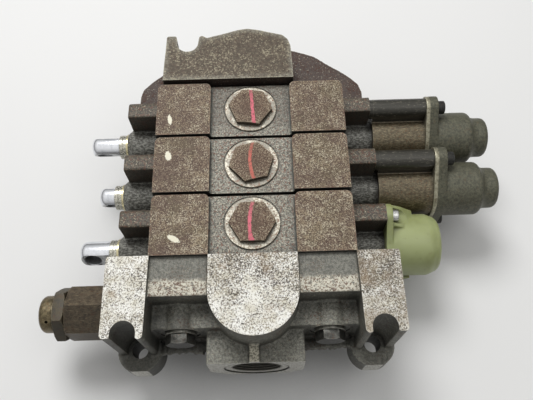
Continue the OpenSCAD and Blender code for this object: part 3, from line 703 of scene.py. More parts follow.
# ---------------------------------------------------------------- other materials
def steel(name, dark, light, worn, rust=None, rusty=0.3, rough=(0.3, 0.5), metal=0.6,
          scale=0.5, stretch=(1, 1, 1), worn_amount=0.5, bump=0.3, recess_shade=0.5, streak=None,
          front=0.0):
    """Mottled steel; front paints shade on the faces that look to -Y."""
    m = Shader(name)
    mottle = (m.noise(scale, detail=4, seed=2, stretch=stretch) * 0.5
              + m.noise(scale * 4, rough=0.65, seed=12, stretch=stretch) * 0.5)
    colour = mottle.rise(0.38, 0.62).colours(dark, light)
    if streak:
        # Fine light scratches running along the part
        scratches = m.noise(scale=1.0, rough=0.7, seed=55, stretch=(0.25, 1.6, 1.6))
        colour = colour.coat(streak, scratches.rise(0.585, 0.63), amount=0.6)
    if rust:
        patches = (m.noise(scale=0.35, detail=4, rough=0.7, seed=33) * 0.6
                   + m.noise(scale=1.4, rough=0.7, seed=47) * 0.4)
        patches = patches.rise(0.62 - 0.18 * rusty, 0.68 - 0.1 * rusty)
        colour = colour.coat(rust, patches, amount=0.85)
    if front:
        # Painted shade on the faces that look to the front (-Y)
        colour = colour.coat((24, 22, 18), (m.ny * -1.0).rise(0.1, 0.5), amount=front)
    colour = colour.worn_edges(worn, amount=worn_amount, radius=0.6)
    # Painted shade in corners and recesses
    colour = colour.recess_shade((18, 17, 15), amount=recess_shade, reach=5)
    normal = mottle.bump(strength=bump, depth=0.15)
    return m.done(colour, mottle.rise(0.3, 0.7).between(*rough), metal, normal)


def olive_steel():
    """Olive spring housings, their screw tubes black and oily."""
    m = Shader("olive_steel")
    grain = m.noise(scale=0.5, detail=4, seed=2)
    streaks = m.noise(scale=1.3, rough=0.7, seed=12, stretch=(0.35, 1.5, 1.5))
    mottle = grain * 0.4 + streaks * 0.6
    colour = mottle.rise(0.4, 0.62).colours((68, 60, 45), (110, 100, 78))
    colour = colour.coat((168, 158, 130), streaks.rise(0.6, 0.66), amount=0.5)
    rust = m.speck(scale=0.7, span=(0.58, 0.64), seed=47)
    colour = colour.coat((92, 66, 42), rust, amount=0.7)
    tubes = []
    for i in (1, 2):
        dy = m.y - section_y(i)
        dz = m.z - AXIS_Z
        radius = (dy * dy + dz * dz).sqrt()
        tubes.append(radius.rise(19.3, 19.9) * abs(dy).fall(21.9, 22.1))
    tube = tubes[0].max(tubes[1])
    oily = m.noise(scale=1.0, rough=0.7, seed=55, stretch=(0.3, 1.1, 1.1))
    oily = oily.rise(0.58, 0.66).colours((52, 51, 46), (108, 105, 94))
    colour = colour.coat(oily, tube, amount=0.94)
    colour = colour.worn_edges((186, 180, 156), amount=0.45, radius=0.5)
    # Painted shade in corners and recesses
    colour = colour.recess_shade((16, 15, 13), amount=0.65, reach=5)
    rough = tube.between(mottle.rise(0.3, 0.7).between(0.34, 0.52), 0.3)
    return m.done(colour, rough, tube.between(0.4, 0.3), mottle.bump(strength=0.3, depth=0.15))


# Middle line of the stripe on each plug, in x: offset, lean and bow (times y and y squared)
STRIPES = {1: (1.328, -0.064, 0.0002), 2: (-0.855, -0.0241, 0.01218), 3: (-1.781, 0.0437, 0.00954)}


def stripe_mask(m, i, dy, radius):
    """Worn painted stripe across the hexagon, widening to the front."""
    offset, lean, bow = STRIPES[i]
    middle = dy * dy * bow + (dy * lean + offset)
    stray = (m.noise(scale=0.5, seed=5) - 0.5) * 1.0
    distance = abs(m.x + stray - middle)
    widening = (dy * -1.0).rise(8.0, 14.0) * (0.9 if i == 3 else 0.2)
    ragged = distance + m.noise(scale=1.2, rough=0.7, seed=15) * 0.7
    stripe = (ragged - widening).fall(1.25, 1.65)
    on_top = m.z.rise(SPOT_Z + 3.0, SPOT_Z + 3.4) * radius.fall(15.6, 16.0)
    stripe = stripe * m.nz.rise(0.5, 0.8) * on_top
    worn = m.speck(scale=0.8, span=(0.52, 0.64), seed=55).between(1.0, 0.35)
    return stripe * worn * dy.rise(2.0, 12.0).between(1.0, 0.62)


def plug_steel(i):
    m = Shader(f"rusty_plug_steel_{i}")
    dy = m.y - section_y(i)
    radius = (m.x * m.x + dy * dy).sqrt()
    mottle = (m.noise(scale=0.6, detail=4, rough=0.7, seed=4 + i) * 0.5
              + m.noise(scale=1.3, rough=0.7, seed=14 + i) * 0.5)
    colour = mottle.rise(0.40, 0.60).colours((72, 53, 42), (112, 92, 75))
    # Cream speckle, thickest near the turned chamfer
    freckles = (m.noise(scale=1.2, detail=4, rough=0.72, seed=34 + i) * 0.86
                + radius * 0.0075).rise(0.535, 0.575)
    colour = colour.coat((190, 178, 152), freckles, amount=0.6)
    rust = m.speck(scale=0.7, span=(0.57, 0.62), seed=84 + i)
    colour = colour.coat((64, 42, 32), rust, amount=0.8)
    # Bare bright seat ring round the hexagon
    seat = m.z.fall(SPOT_Z + 1.3, SPOT_Z + 1.5) * m.nz.rise(0.4, 0.8)
    bare = m.speck(scale=0.8, span=(0.44, 0.58), seed=24 + i, detail=4, rough=0.7).colours(
        (184, 180, 166), (116, 106, 90))
    dull = m.speck(scale=0.12, span=(0.44, 0.56), seed=124 + i)
    bare = bare.coat((112, 108, 98), dull, amount=0.8)
    rust = m.speck(scale=0.6, span=(0.575, 0.62), seed=64 + i)
    bare = bare.coat((96, 66, 48), rust, amount=0.9)
    colour = colour.coat(bare, seat)
    pinks = ((200, 104, 94), (182, 104, 88)) if i == 2 else ((226, 112, 132), (198, 104, 114))
    pink = m.noise(scale=0.3, detail=2, rough=0.5, seed=9).colours(*pinks)
    colour = colour.coat(pink, stripe_mask(m, i, dy, radius), amount=0.92)
    colour = colour.worn_edges((200, 188, 162), amount=0.5, radius=0.7, scale=0.7,
                               span=(0.3, 0.55))
    # Painted shade: the upright sides of the hexagon are darkened
    colour = colour.coat((34, 28, 24), abs(m.nz).fall(0.2, 0.6), amount=0.7)
    # Painted shade in corners and recesses
    colour = colour.recess_shade((18, 14, 12), amount=0.85, reach=5, span=(0.15, 0.85))
    return m.done(colour, seat.between(0.7, 0.45), seat.between(0.15, 0.4),
                  mottle.bump(strength=0.5, depth=0.2))


def chrome():
    m = Shader("spool_chrome")
    marks = m.noise(scale=1.0, seed=2, stretch=(6.0, 0.4, 0.4))
    smears = m.noise(scale=0.15, seed=8)
    colour = smears.rise(0.45, 0.75).colours((232, 234, 238), (206, 209, 214))
    spots = m.noise(scale=0.9, detail=4, rough=0.75, seed=17).rise(0.66, 0.71)
    colour = colour.coat((110, 104, 94), spots, amount=0.6)
    # Painted shade on the faces that look to the front (-Y)
    colour = colour.coat((96, 96, 93), (m.ny * -1.0).rise(0.72, 0.93), amount=0.72)
    # Painted shade and dirt in recesses: nearly black, rougher and less metallic
    dirt_and_shade = (1.0 - m.openness(reach=14, span=(0.3, 0.98))) ** 0.6
    colour = colour.coat((22, 22, 19), dirt_and_shade, amount=0.96)
    rough = dirt_and_shade.between(smears.between(0.14, 0.24), 0.7)
    return m.done(colour, rough, dirt_and_shade.between(1.0, 0.1), marks.bump(strength=0.06, depth=0.03))


def yellow_zinc():
    m = Shader("yellow_zinc")
    grain = m.noise(scale=0.9, detail=4, seed=2)
    colour = grain.rise(0.4, 0.6).colours((150, 148, 136), (206, 203, 190))
    colour = colour.coat((206, 196, 158), m.x.rise(-NOSE_X - 1.9, -NOSE_X - 1.5))
    # Painted shade in corners and recesses
    colour = colour.recess_shade((60, 56, 40), amount=0.5, reach=3, span=(0.2, 0.9))
    return m.done(colour, grain.between(0.2, 0.34), 0.85, grain.bump(strength=0.15, depth=0.05))


def green_plastic():
    m = Shader("green_plastic")
    patches = m.noise(scale=0.05, rough=0.55, seed=2)
    grain = m.noise(scale=1.5, seed=12)
    colour = patches.rise(0.35, 0.7).colours((160, 168, 118), (140, 146, 96))
    smudges = m.noise(scale=0.25, detail=4, rough=0.7, seed=31).rise(0.60, 0.72)
    colour = colour.coat((128, 122, 84), smudges, amount=0.35)
    # Painted shade in corners and recesses
    colour = colour.recess_shade((90, 84, 54), amount=0.5, reach=8)
    return m.done(colour, grain.between(0.28, 0.4), 0.0, grain.bump(strength=0.08, depth=0.05),
                  Subsurface_Radius=(0.006, 0.006, 0.003), Subsurface_Scale=0.5,
                  Subsurface_Weight=0.35, Transmission_Weight=0.05)


def rubber():
    m = Shader("seal_rubber")
    grain = m.noise(scale=1.2, seed=2)
    colour = grain.colours((18, 18, 18), (40, 40, 39))
    return m.done(colour, grain.between(0.6, 0.8), 0.0, grain.bump(strength=0.2, depth=0.08))


def pale_floor():
    m = Shader("pale_floor")
    colour = m.noise(scale=0.004, rough=0.5, seed=2).colours((232, 232, 231), (228, 228, 227))
    # Painted contact shadow: the floor darkens near the valve
    colour = colour.recess_shade((60, 60, 57), amount=0.55, reach=60, span=(0.1, 0.85))
    grain = m.noise(scale=0.4, rough=0.5, seed=3)
    return m.done(colour, 0.75, 0.0, grain.bump(strength=0.03, depth=0.05))


MATERIALS = {
    "section": section_iron(), "inlet": inlet_iron(), "end": end_iron(),
    "chrome": chrome(), "plastic": green_plastic(), "rubber": rubber(),
    "olive": olive_steel(),
    "plate": steel("plate_steel", dark=(118, 114, 96), light=(176, 172, 150),
                   worn=(214, 210, 190), worn_amount=0.6, rust=(96, 74, 46), rusty=0.35,
                   rough=(0.3, 0.45)),
    "cap": steel("dark_cap_iron", dark=(56, 56, 45), light=(100, 99, 82),
                 worn=(164, 160, 138), rust=(92, 78, 56), rusty=0.35, rough=(0.42, 0.62),
                 metal=0.2, scale=0.6, bump=0.5),
    "yellow_zinc": yellow_zinc(),
    "zinc": steel("zinc_steel", dark=(178, 178, 176), light=(222, 222, 220),
                  worn=(238, 238, 238), worn_amount=0.4, rough=(0.2, 0.35), metal=0.9,
                  scale=0.8, bump=0.1),
    "black": steel("black_screw_steel", dark=(26, 26, 25), light=(56, 56, 52),
                   worn=(120, 118, 108), rust=(70, 52, 38), rough=(0.35, 0.55), metal=0.5,
                   scale=0.8),
    # The relief body and its nut get painted shade on their faces that look to -Y (front)
    "relief": steel("brown_relief_steel", dark=(60, 51, 39), light=(100, 88, 70),
                    worn=(176, 160, 132), worn_amount=0.75, rust=(84, 58, 38), rusty=0.45,
                    rough=(0.38, 0.6), metal=0.4, scale=0.35, streak=(140, 126, 100),
                    front=0.42),
    "relief_nut": steel("olive_nut_steel", dark=(52, 47, 35), light=(80, 72, 55),
                        worn=(166, 154, 124), rust=(78, 54, 34), rusty=0.5,
                        rough=(0.5, 0.68), metal=0.15, scale=0.4, front=0.42),
    "relief_cap": steel("brown_relief_cap", dark=(74, 65, 47), light=(122, 110, 83),
                        worn=(184, 172, 140), rust=(96, 70, 44), rusty=0.45, scale=0.4),
    # The tie bolts get painted shade on their faces that look to -Y (front)
    "bolt": steel("dark_bolt_steel", dark=(50, 50, 47), light=(94, 93, 88),
                  worn=(196, 194, 184), worn_amount=0.7, rust=(90, 60, 42),
                  rough=(0.28, 0.48), metal=0.7, recess_shade=0.6, front=0.72),
    "washer": steel("worn_washer_steel", dark=(110, 109, 102), light=(170, 168, 158),
                    worn=(206, 204, 194), worn_amount=0.6, rust=(96, 66, 46), metal=0.7,
                    scale=0.6),
    "bright": steel("bright_steel", dark=(140, 140, 138), light=(186, 186, 184),
                    worn=(214, 214, 212), worn_amount=0.4, rust=(110, 84, 60), rusty=0.1,
                    rough=(0.25, 0.4), metal=0.9, scale=0.6, stretch=(3.0, 0.5, 0.5),
                    bump=0.15),
}


# ---------------------------------------------------------------- castings
def seal_groove(x, z, start, end):
    return ring("y", (x, z), 6, 8, start, end)


def section_master():
    """One spool section, centred on y = 0."""
    solids = [box(-65.7, 65.7, -23.6, 23.6, -2.5, CHANNEL_Z)]
    ear_outline = ([(6, 3), (6, EAR_Z + 8), (6.5, EAR_Z + 8.5)]
                   + arc(EAR_Y + 2, EAR_Z + 2.5, 6, 90, 0, 10)
                   + [(EAR_Y + 8, EAR_Z - 6), (13.1, 5)])
    pad = ([(CHANNEL_X, -23.6), (65.9, -23.6)] + arc(61.7, 15.8, 4.2, 0, 90)
           + arc(CHANNEL_X + 4, 15.8, 4.2, 90, 180))
    for side in (-1, 1):
        solids.append(prism(mirrored(pad, side), "z", 95, 110.5))
        ends = (62, 93.6) if side > 0 else (-91.6, -62)
        for up in (-1, 1):
            outline = [(up * y, AXIS_Z + up * z) for y, z in ear_outline]
            solids.append(prism(outline, "x", *ends))
    boss = [(0, -98), (9.0, -98), (10.3, -NOSE_X + 0.2), (11.2, -NOSE_X + 1.2),
            (13.65, -NOSE_X + 4.2), (13.65, 93.6), (0, 93.6)]
    solids.append(lathe(boss, "x", (0, AXIS_Z), 96))
    piece = cast("section_body_casting", solids, smooth=4)
    boolean(piece, box(-NOSE_X, BOSS_X, -PITCH / 2, PITCH / 2, 0, TOP), op="INTERSECT")

    # Spool bore and the recesses at its ends
    axis = (0, AXIS_Z)
    cuts = [cylinder("x", axis, SPOOL_R + 0.04, -NOSE_X - 1, BOSS_X + 1, 96),
            cylinder("x", axis, 9.3, -NOSE_X - 1, -NOSE_X + 3.4, 96),
            cylinder("x", axis, 11.9, -91.5, -88, 96),
            cylinder("x", axis, 11.9, BOSS_X - 4, BOSS_X + 1, 96)]
    for side in (-1, 1):
        for x in (13, 27, 41):
            cuts.append(cylinder("x", axis, 12, side * x - 3.5, side * x + 3.5))
        cuts += [cylinder("y", (side * 41, AXIS_Z), 5, -23, 23),
                 cylinder("z", (side * 27, 0), 10.2, -1, 18, 96),
                 cylinder("z", (side * 27, 0), 15, -1, 0.6, 96),
                 cylinder("z", (side * 27, 0), 6, 10, AXIS_Z),
                 cylinder("z", (side * 13, 0), 3.2, AXIS_Z, 85, 32)]
        cuts += ear_pair(0, 2.5, *((BOSS_X - 18, BOSS_X + 1) if side > 0
                                   else (-BOSS_X - 1, -BOSS_X + 18)))
        for z in TIE_Z:
            cuts.append(cylinder("y", (side * TIE_X, z), 5.5, -23, 23))
        cuts.append(seal_groove(side * 41, AXIS_Z, -23, -20.5))
    # Upper gallery, the stepped hole of the plug, and the gap to the next block
    cuts += [seal_groove(0, 72, -23, -20.5),
             cylinder("x", (0, 85), 3.6, -17.2, 17.2, 32),
             cylinder("y", (0, 72), 5, -23, 23),
             cylinder("z", (0, 0), 5.5, 66, 82),
             cylinder("z", (0, 0), 9, 80, 93),
             cylinder("z", (0, 0), 13.05, 92, 112),
             cylinder("z", (0, 0), 15.1, SPOT_Z - 2, 112),
             cylinder("z", (0, 0), 19.3, SPOT_Z, 112, 128),
             box(-66.7, 66.7, PITCH / 2 - 2.2, PITCH / 2 + 1.8, CHANNEL_Z - 6, TOP + 5)]
    boolean(piece, *cuts)
    return piece


def sections():
    """Two copies of the master, then the master itself as section 1."""
    master = section_master()
    for i in (3, 2, 1):
        piece = master
        if i > 1:
            piece = master.copy()
            piece.data = master.data.copy()
            bpy.context.scene.collection.objects.link(piece)
        piece.name = piece.data.name = f"section_body_{i}_casting"
        piece.data.transform(Matrix.Translation((0, section_y(i) * MM, 0)))
        if i < 3:
            boolean(piece, ring("x", (section_y(i), AXIS_Z), 13.75, 48, EAR_CUT, 96, 96))
        sharpen(piece, 38)
        finish(piece, MATERIALS["section"], f"section_body_{i}")


def inlet_cuts():
    # Threaded port with a fine chamfer, and the shallow recess in its face
    thread = [(0, PORT_Y - 1), (16.9, PORT_Y - 1), (16.9, PORT_Y + 0.3), (16.1, PORT_Y + 1.0)]
    for k in range(12):
        y = PORT_Y + 1.2 + 1.6 * k
        thread += [(16.0, y), (16.7, y + 0.7), (16.7, y + 0.9), (16.0, y + 1.5)]
    thread += [(16.0, PORT_Y + 21.5), (14, PORT_Y + 22), (0, PORT_Y + 22)]
    cuts = [lathe(thread, "y", (0, AXIS_Z), 160),
            cylinder("y", (0, AXIS_Z), 21.5, PORT_Y - 1, PORT_Y + 0.8, 160),
            cylinder("y", (0, AXIS_Z), 8, -45, -12),
            cylinder("z", (0, -16), 5, AXIS_Z, 72),
            cylinder("y", (0, 72), 5, -16, 1)]
    for side in (-1, 1):
        cuts.append(cylinder("y", (side * 41, AXIS_Z), 4.5, -8, 1))
        for z, seat, radius in zip(TIE_Z, TIE_SEAT, (11.5, 13.2)):
            cuts.append(cylinder("y", (side * TIE_X, z), 5.5, -70, 10))
            cuts.append(cylinder("y", (side * TIE_X, z), radius, -70, seat, 96))
        x = side * FOOT_X
        cuts += [cylinder("z", (x, FOOT_Y), 5.5, 20, 80),
                 cylinder("z", (x, FOOT_Y), FOOT_SLOT_R, 54, 112),
                 box(x - FOOT_SLOT_R, x + FOOT_SLOT_R, -70, FOOT_Y, 54, 112)]
    # Stepped hole of the relief body, and the passages from it
    relief_axis = (RELIEF_Y, AXIS_Z)
    return cuts + [cylinder("x", relief_axis, 11, -93.5, -60, 96),
                   cylinder("x", relief_axis, 13.1, -94, -90, 96),
                   cylinder("x", relief_axis, 14, -76, -64),
                   cylinder("x", relief_axis, 4.5, -61, 0, 48),
                   cylinder("y", (-68, AXIS_Z), 4, RELIEF_Y, -8, 48),
                   cylinder("x", (-8, AXIS_Z), 4, -68, -41, 48)]


def inlet():
    seat = TIE_SEAT[1]
    column = ([(65.4, 2.0), (91.3, 2.0), (91.3, 0.0), (92.2, -1.0), (92.2, -50.2), (90.6, -51.5)]
              + arc(FOOT_X, FOOT_Y, FOOT_SLOT_R, -20, 200, 18) + [(68.3, -52.2), (66.4, -50.5)])
    solids = [box(-66, 66, -25.6, 2, -2.5, 104), box(-66, 66, seat, -10, 45.5, 84.3),
              box(-66, 66, -38.3, -8, -2.5, 60)]
    for side in (-1, 1):
        solids += [prism(mirrored(column, side), "z", 48, 110),
                   side_box(side, 60, 92, -40, 2, 18, 78),
                   cylinder("z", (side * FOOT_X, FOOT_Y), FOOT_R, 32, 54, 96),
                   side_box(side, 31, 63, -49.2, -37, 46.5, 54.2)]
        # Ragged parting flash under the upper tie bolts
        for k in range(40):
            x = side * (31.5 + 31 * (k + 0.5) / 40)
            depth = random.uniform(0.0, 1.5) + (1.6 if random.random() < 0.3 else 0)
            solids.append(box(x - 0.55, x + 0.55, -49.6 - depth, -45,
                              52.4 - random.uniform(0, 2.0), 54.4 + random.uniform(-0.3, 0.9)))
        # Pad round each tie bolt
        solids.append(cylinder("y", (side * TIE_X, TIE_Z[1]), 13.8, seat - 0.8, -20))
        solids.append(cylinder("y", (side * TIE_X, TIE_Z[0]), 12.4, -39.0, -20))
    # Tongue, port boss, and the rib and gusset between them
    tongue = [(-CHANNEL_X, 2)] + arc(0, -23.4, CHANNEL_X, 180, 360, 40) + [(CHANNEL_X, 2)]
    boss = [(-31.5, 75.5), (31.5, 75.5), (31.5, 44), (20, 31), (-20, 31), (-31.5, 44)]
    solids += [prism(tongue, "z", 60, 110),
               prism(boss, "y", PORT_Y - 2, -30),
               box(-4.3, 2.5, PORT_Y - 2, -45, 70, 79.2),
               prism([(-50, 86), (-56, 78), (-58.5, 70), (-40, 70)], "x", -4.2, 2.4)]
    piece = cast("inlet_section_casting", solids, smooth=5)
    boolean(piece, box(-INLET_X - 5, INLET_X + 5, PORT_Y, 0, 0, TOP), op="INTERSECT")
    boolean(piece, *inlet_cuts())
    sharpen(piece, 38)
    finish(piece, MATERIALS["inlet"], "inlet_section")


# End section outlines: x, and y behind its front face
ARCH_RIGHT = [(85, 0), (85, 7), (83, 14), (77.5, 20), (70, 26.5), (63, 31.5), (51, 41),
              (42, 45), (33, 48), (17, 51), (0, 52)]
CROWN_LEFT = [(-62.7, -2), (-62.6, 0), (-61.2, 38.6), (-60.4, 39.4), (-54.6, 39.4),
              (-53.9, 38.6)]
CROWN_RIGHT = [(-37.1, 38.4), (-35.1, 39.5), (-31.3, 37.1), (-17.1, 41.1), (-7.7, 44),
               (-1.4, 44.9), (5.9, 43.6), (24.6, 38.2), (28.6, 34.1), (30.5, 28.1),
               (31.3, 0), (31.4, -2)]


def end():
    front = END_Y
    right, crown_left, crown_right = [
        [(x, front + y) for x, y in points] for points in (ARCH_RIGHT, CROWN_LEFT, CROWN_RIGHT)]
    arch = ([(84.8, front - 2)] + right + mirrored(right[::-1][1:], -1)
            + [(-84.8, front - 2)])
    hole = (-45.6, front + 32.7)
    crown = crown_left + arc(*hole, 7.8, 170, 350, 14) + crown_right
    solids = [prism(arch, "z", 12, 79), prism(crown, "z", 60, END_TOP + 3),
              box(-50, 50, front - 2, front + 38, -2.5, 40)]
    piece = cast("end_section_casting", solids, smooth=5, lump=0.35)
    boolean(piece, box(-90, 90, front, front + 60, 0, END_TOP), op="INTERSECT")
    cuts = []
    for side in (-1, 1):
        for z in TIE_Z:
            cuts.append(cylinder("y", (side * TIE_X, z), 5.05, front - 1, front + 17))
        cuts.append(cylinder("y", (side * 41, AXIS_Z), 5, front - 1, front + 20))
        cuts.append(seal_groove(side * 41, AXIS_Z, front - 1, front + 1.5))
    passage = front + 20
    cuts += [seal_groove(0, 72, front - 1, front + 1.5),
             cylinder("x", (passage, AXIS_Z), 4.6, -45, 85, 48),
             cylinder("x", (passage, AXIS_Z), 7, 70, 100),
             cylinder("z", (12, passage), 16, -1, 20, 96),
             cylinder("z", (12, passage), 8, 10, AXIS_Z, 48),
             cylinder("z", (12, passage), 21.5, -1, 0.6, 96),
             cylinder("z", hole, 5.5, -1, 59),
             cylinder("z", hole, 7.2, 54, 114),
             cylinder("z", hole, 15, -1, 32)]
    boolean(piece, *cuts)
    sharpen(piece, 38)
    finish(piece, MATERIALS["end"], "end_section")


# ---------------------------------------------------------------- caps
def flange(y, disc, lobe):
    """Outline of a two-bolt flange: a disc and two lobes joined by tangents."""
    slant = math.degrees(math.atan2(EAR_Z, EAR_Y))
    reach = math.hypot(EAR_Y, EAR_Z)
    tangent = math.degrees(math.acos((disc - lobe) / reach))
    points = []
    for turn in (0, 180):
        a = slant + turn
        centre = (reach * math.cos(math.radians(a)), reach * math.sin(math.radians(a)))
        points += arc(*centre, lobe, a - tangent, a + tangent, 16)
        points += arc(0, 0, disc, a + tangent, a + 180 - tangent, 20)
    return [(y + p[0], AXIS_Z + p[1]) for p in points]


def spring_housing(i):
    yc = section_y(i)
    start, end = BOSS_X - 2, CAP_X + 2
    web = [(5.6, 8)] + arc(EAR_Y, EAR_Z, 7.3, 170, -20, 12) + [(12, 12)]
    solids = [cylinder("x", (yc, AXIS_Z), 19, start, end, 96)]
    for side in (-1, 1):
        solids.append(cylinder("x", ear(yc, side), 7.3, start, end, 48))
        outline = [(yc + side * y, AXIS_Z + side * z) for y, z in web]
        solids.append(prism(outline, "x", start, end))
    piece = cast(f"spring_housing_{i}_shell", solids, smooth=3, voxel=SMALL_VOXEL, lump=0.08,
                 lump_size=5.0)
    boolean(piece, box(BOSS_X + 0.02, CAP_X - 0.02, yc - 19.98, yc + 19.98, 0, TOP),
            op="INTERSECT")
    boolean(piece, *ear_pair(yc, 7.2, EAR_CUT + 0.06, BOSS_X + 4, 64), op="UNION")
    boolean(piece, cylinder("x", (yc, AXIS_Z), 15, BOSS_X - 1, CAP_X + 1, 96),
            *ear_pair(yc, 3.2, BOSS_X - 5, CAP_X + 1))
    sharpen(piece, 38)
    finish(piece, MATERIALS["olive"], f"spring_housing_{i}")


def plates():
    pieces = []
    for i in (1, 2):
        yc = section_y(i)
        piece = make(f"plate_{i}", [prism(flange(yc, 20.0, 8.5), "x", CAP_X, CAP_X + 2.7)])
        boolean(piece, cylinder("x", (yc, AXIS_Z), 13.5, CAP_X - 1, CAP_X + 6, 96),
                *ear_pair(yc, 3.2, CAP_X - 1, CAP_X + 6))
        pieces.append(bevelled(piece, 0.3, 2))
    finish(joined("housing_plate_pair", pieces), MATERIALS["plate"], "housing_plates")


def detent_cap(i):
    yc = section_y(i)
    x = CAP_X
    profile = ([(0, x + 5), (19.85, x + 5)] + arc(15.8, x + 33.4, 4.05, 0, 60, 5)
               + [(16.4, x + 38), (15.5, x + 39.8), (15.2, x + 41.5)]
               + arc(11.6, x + 46.4, 3.6, 0, 90, 6) + [(0, x + 50.1)])
    solids = [lathe(profile, "x", (yc, AXIS_Z), 96),
              prism(flange(yc, 20.1, 8.6), "x", x + 0.7, x + 9.1)]
    piece = cast(f"detent_cap_{i}_casting", solids, smooth=3, voxel=SMALL_VOXEL, lump=0.16,
                 lump_size=5.0)
    boolean(piece, box(x + 2.72, x + 50, yc - 20, yc + 20, 0, TOP), op="INTERSECT")
    boolean(piece, cylinder("x", (yc, AXIS_Z), 12.5, x, x + 30),
            cylinder("x", (yc, AXIS_Z), 8.5, x, x + 44), *ear_pair(yc, 3.2, x, x + 12))
    boolean(piece, *ear_pair(yc, 5.6, x + 8.6, x + 30, 48))
    sharpen(piece, 38)
    finish(piece, MATERIALS["cap"], f"detent_cap_{i}")


def plastic_cap():
    yc = section_y(3)
    x = BOSS_X
    profile = [(0, x - 2), (22.05, x - 2), (22.05, x + 31), (21.4, x + 33.2), (20.3, x + 35.2),
               (19.7, x + 37.2), (18.1, x + 39.0), (15, x + 39.7), (0, x + 39.7)]
    solids = [lathe(profile, "x", (yc, AXIS_Z), 128),
              prism(flange(yc, 21.0, 8.5), "x", x - 2, x + 4.55)]
    # Sloping shoulder behind each screw: x from the boss, height from the axis
    shoulder = [(-2, 9), (-2, 26.6), (5, 26.6), (12, 23), (22, 15)]
    for side in (-1, 1):
        ends = sorted((yc + side * 4.5, yc + side * 20.5))
        outline = [(x + dx, AXIS_Z + side * z) for dx, z in shoulder]
        solids.append(prism(outline, "y", *ends))
    piece = cast("plastic_spring_cap_moulding", solids, smooth=8, voxel=PLASTIC_VOXEL, lump=0.0)
    boolean(piece, box(x + 0.02, x + 39.5, yc - 22, yc + 22, 0, TOP), op="INTERSECT")
    boolean(piece, cylinder("x", (yc, AXIS_Z), 15, x - 1, x + 37, 96),
            *ear_pair(yc, 2.6, x - 1, x + 20), *ear_pair(yc, 5.6, x + 4.5, x + 30, 64))
    sharpen(piece, 45)
    finish(piece, MATERIALS["plastic"], "plastic_spring_cap")


# ---------------------------------------------------------------- turned and hexagonal parts
def plug(i):
    yc = section_y(i)
    z = SPOT_Z
    turn = {1: -8, 2: 13, 3: 0}[i]
    head = make("head", [prism(hexagon(27, (0, yc), turn), "z", z + 0.6, z + 4.8)])
    chamfer = [(0, z), (17.6, z), (17.2, z + 2.6), (16.9, z + 3.1), (13.9, z + 4.8),
               (0, z + 4.8)]
    boolean(head, lathe(chamfer, "z", (0, yc), 128), op="INTERSECT")
    bevelled(head, 0.35, 2)
    stem = [(0, 100), (5.04, 100), (5.04, 92), (13, 92), (13, z + 0.02), (18.0, z + 0.02),
            (18.3, z + 0.3), (18.3, z + 0.85), (17.95, z + 1.2), (0, z + 1.2)]
    stem = sharpen(make("stem", [lathe(stem, "z", (0, yc), 128)]))
    finish(joined(f"check_plug_{i}_hex", [head, stem]), plug_steel(i), f"check_plug_{i}")


def spool(i):
    yc = section_y(i)
    shift = 10.0 if i == 2 else 0.0
    tip = shift + SPOOL_TIP
    turn = {1: 22, 2: 17, 3: -15}[i]
    r = SPOOL_R
    profile = [(0, tip), (4.4, tip), (5.5, tip + 0.2), (6.5, tip + 0.7), (7.3, tip + 1.4),
               (8.0, tip + 2.3), (8.45, tip + 3.3), (r, tip + 4.5)]
    # The rest: radius, and x before the shift
    profile += [(radius, shift + x) for radius, x in (
        (r, -36.5), (6, -34.5), (6, -19.5), (r, -17.5), (r, 17.5), (6, 19.5), (6, 34.5),
        (r, 36.5), (r, 92), (r - 0.8, 93), (3.4, 93), (3.4, 73), (0, 73))]
    piece = make(f"spool_{i}_ground", [lathe(profile, "x", (yc, AXIS_Z), 96)])
    # Flats run out to the round part with a cutter radius
    flat = [(tip - 6, 6.2), (shift - 104.2, 6.2), (shift - 103.0, 6.5), (shift - 102.3, 7.2),
            (shift - 102.0, 8.2), (shift - 101.9, 26), (tip - 6, 26)]
    cuts = [prism([(x, yc + side * y) for x, y in flat], "z", AXIS_Z - 20, AXIS_Z + 20)
            for side in (-1, 1)]
    eye = [(0, yc - 15), (6.2, yc - 15), (6.2, yc - 6.1), (5.8, yc - 5.6), (5.75, yc + 5.6),
           (6.2, yc + 6.1), (6.2, yc + 15), (0, yc + 15)]
    cuts.append(lathe(eye, "y", (shift - 116.0, AXIS_Z), 64))
    for cut in cuts:
        boolean(piece, turned(cut, "x", turn, (0, yc, AXIS_Z)))
    bevelled(piece, 0.3, 3, 28)
    finish(piece, MATERIALS["chrome"], f"spool_{i}", rides=f"spool_body_{i}")


def wipers():
    # Radius, and x from the left end of the boss
    profile = [(8.8, -6.9), (9.0, -6.9), (9.2, -6.7), (9.2, -4.4), (9.05, -4.2), (9.05, -3.9),
               (9.2, -3.7), (9.2, -1.2), (9.8, -1.2), (9.95, -1.05), (9.95, -0.05),
               (9.2, -0.05), (9.2, 3.3), (8.8, 3.3)]
    profile = [(radius, -NOSE_X + x) for radius, x in profile]
    pieces = [sharpen(make("wiper", [lathe(profile, "x", (section_y(i), AXIS_Z), 96, True)]))
              for i in (1, 2, 3)]
    finish(joined("wiper_ring_set", pieces), MATERIALS["yellow_zinc"], "wiper_rings")


def long_screws():
    pieces = []
    x = CAP_X + 9
    profile = [(0, x - 66), (2.1, x - 66), (2.45, x - 65.4), (2.45, x), (4.75, x),
               (5, x + 0.25), (5, x + 5.2), (4.8, x + 5.7), (4.3, x + 6), (0, x + 6)]
    for i in (1, 2):
        for side in (-1, 1):
            centre = ear(section_y(i), side)
            piece = make("screw", [lathe(profile, "x", centre, 64)])
            boolean(piece, prism(hexagon(5.6, centre, 10 * i), "x", x + 3, x + 8))
            pieces.append(sharpen(piece))
    finish(joined("cap_screw_long_set", pieces), MATERIALS["black"], "cap_screws_long")


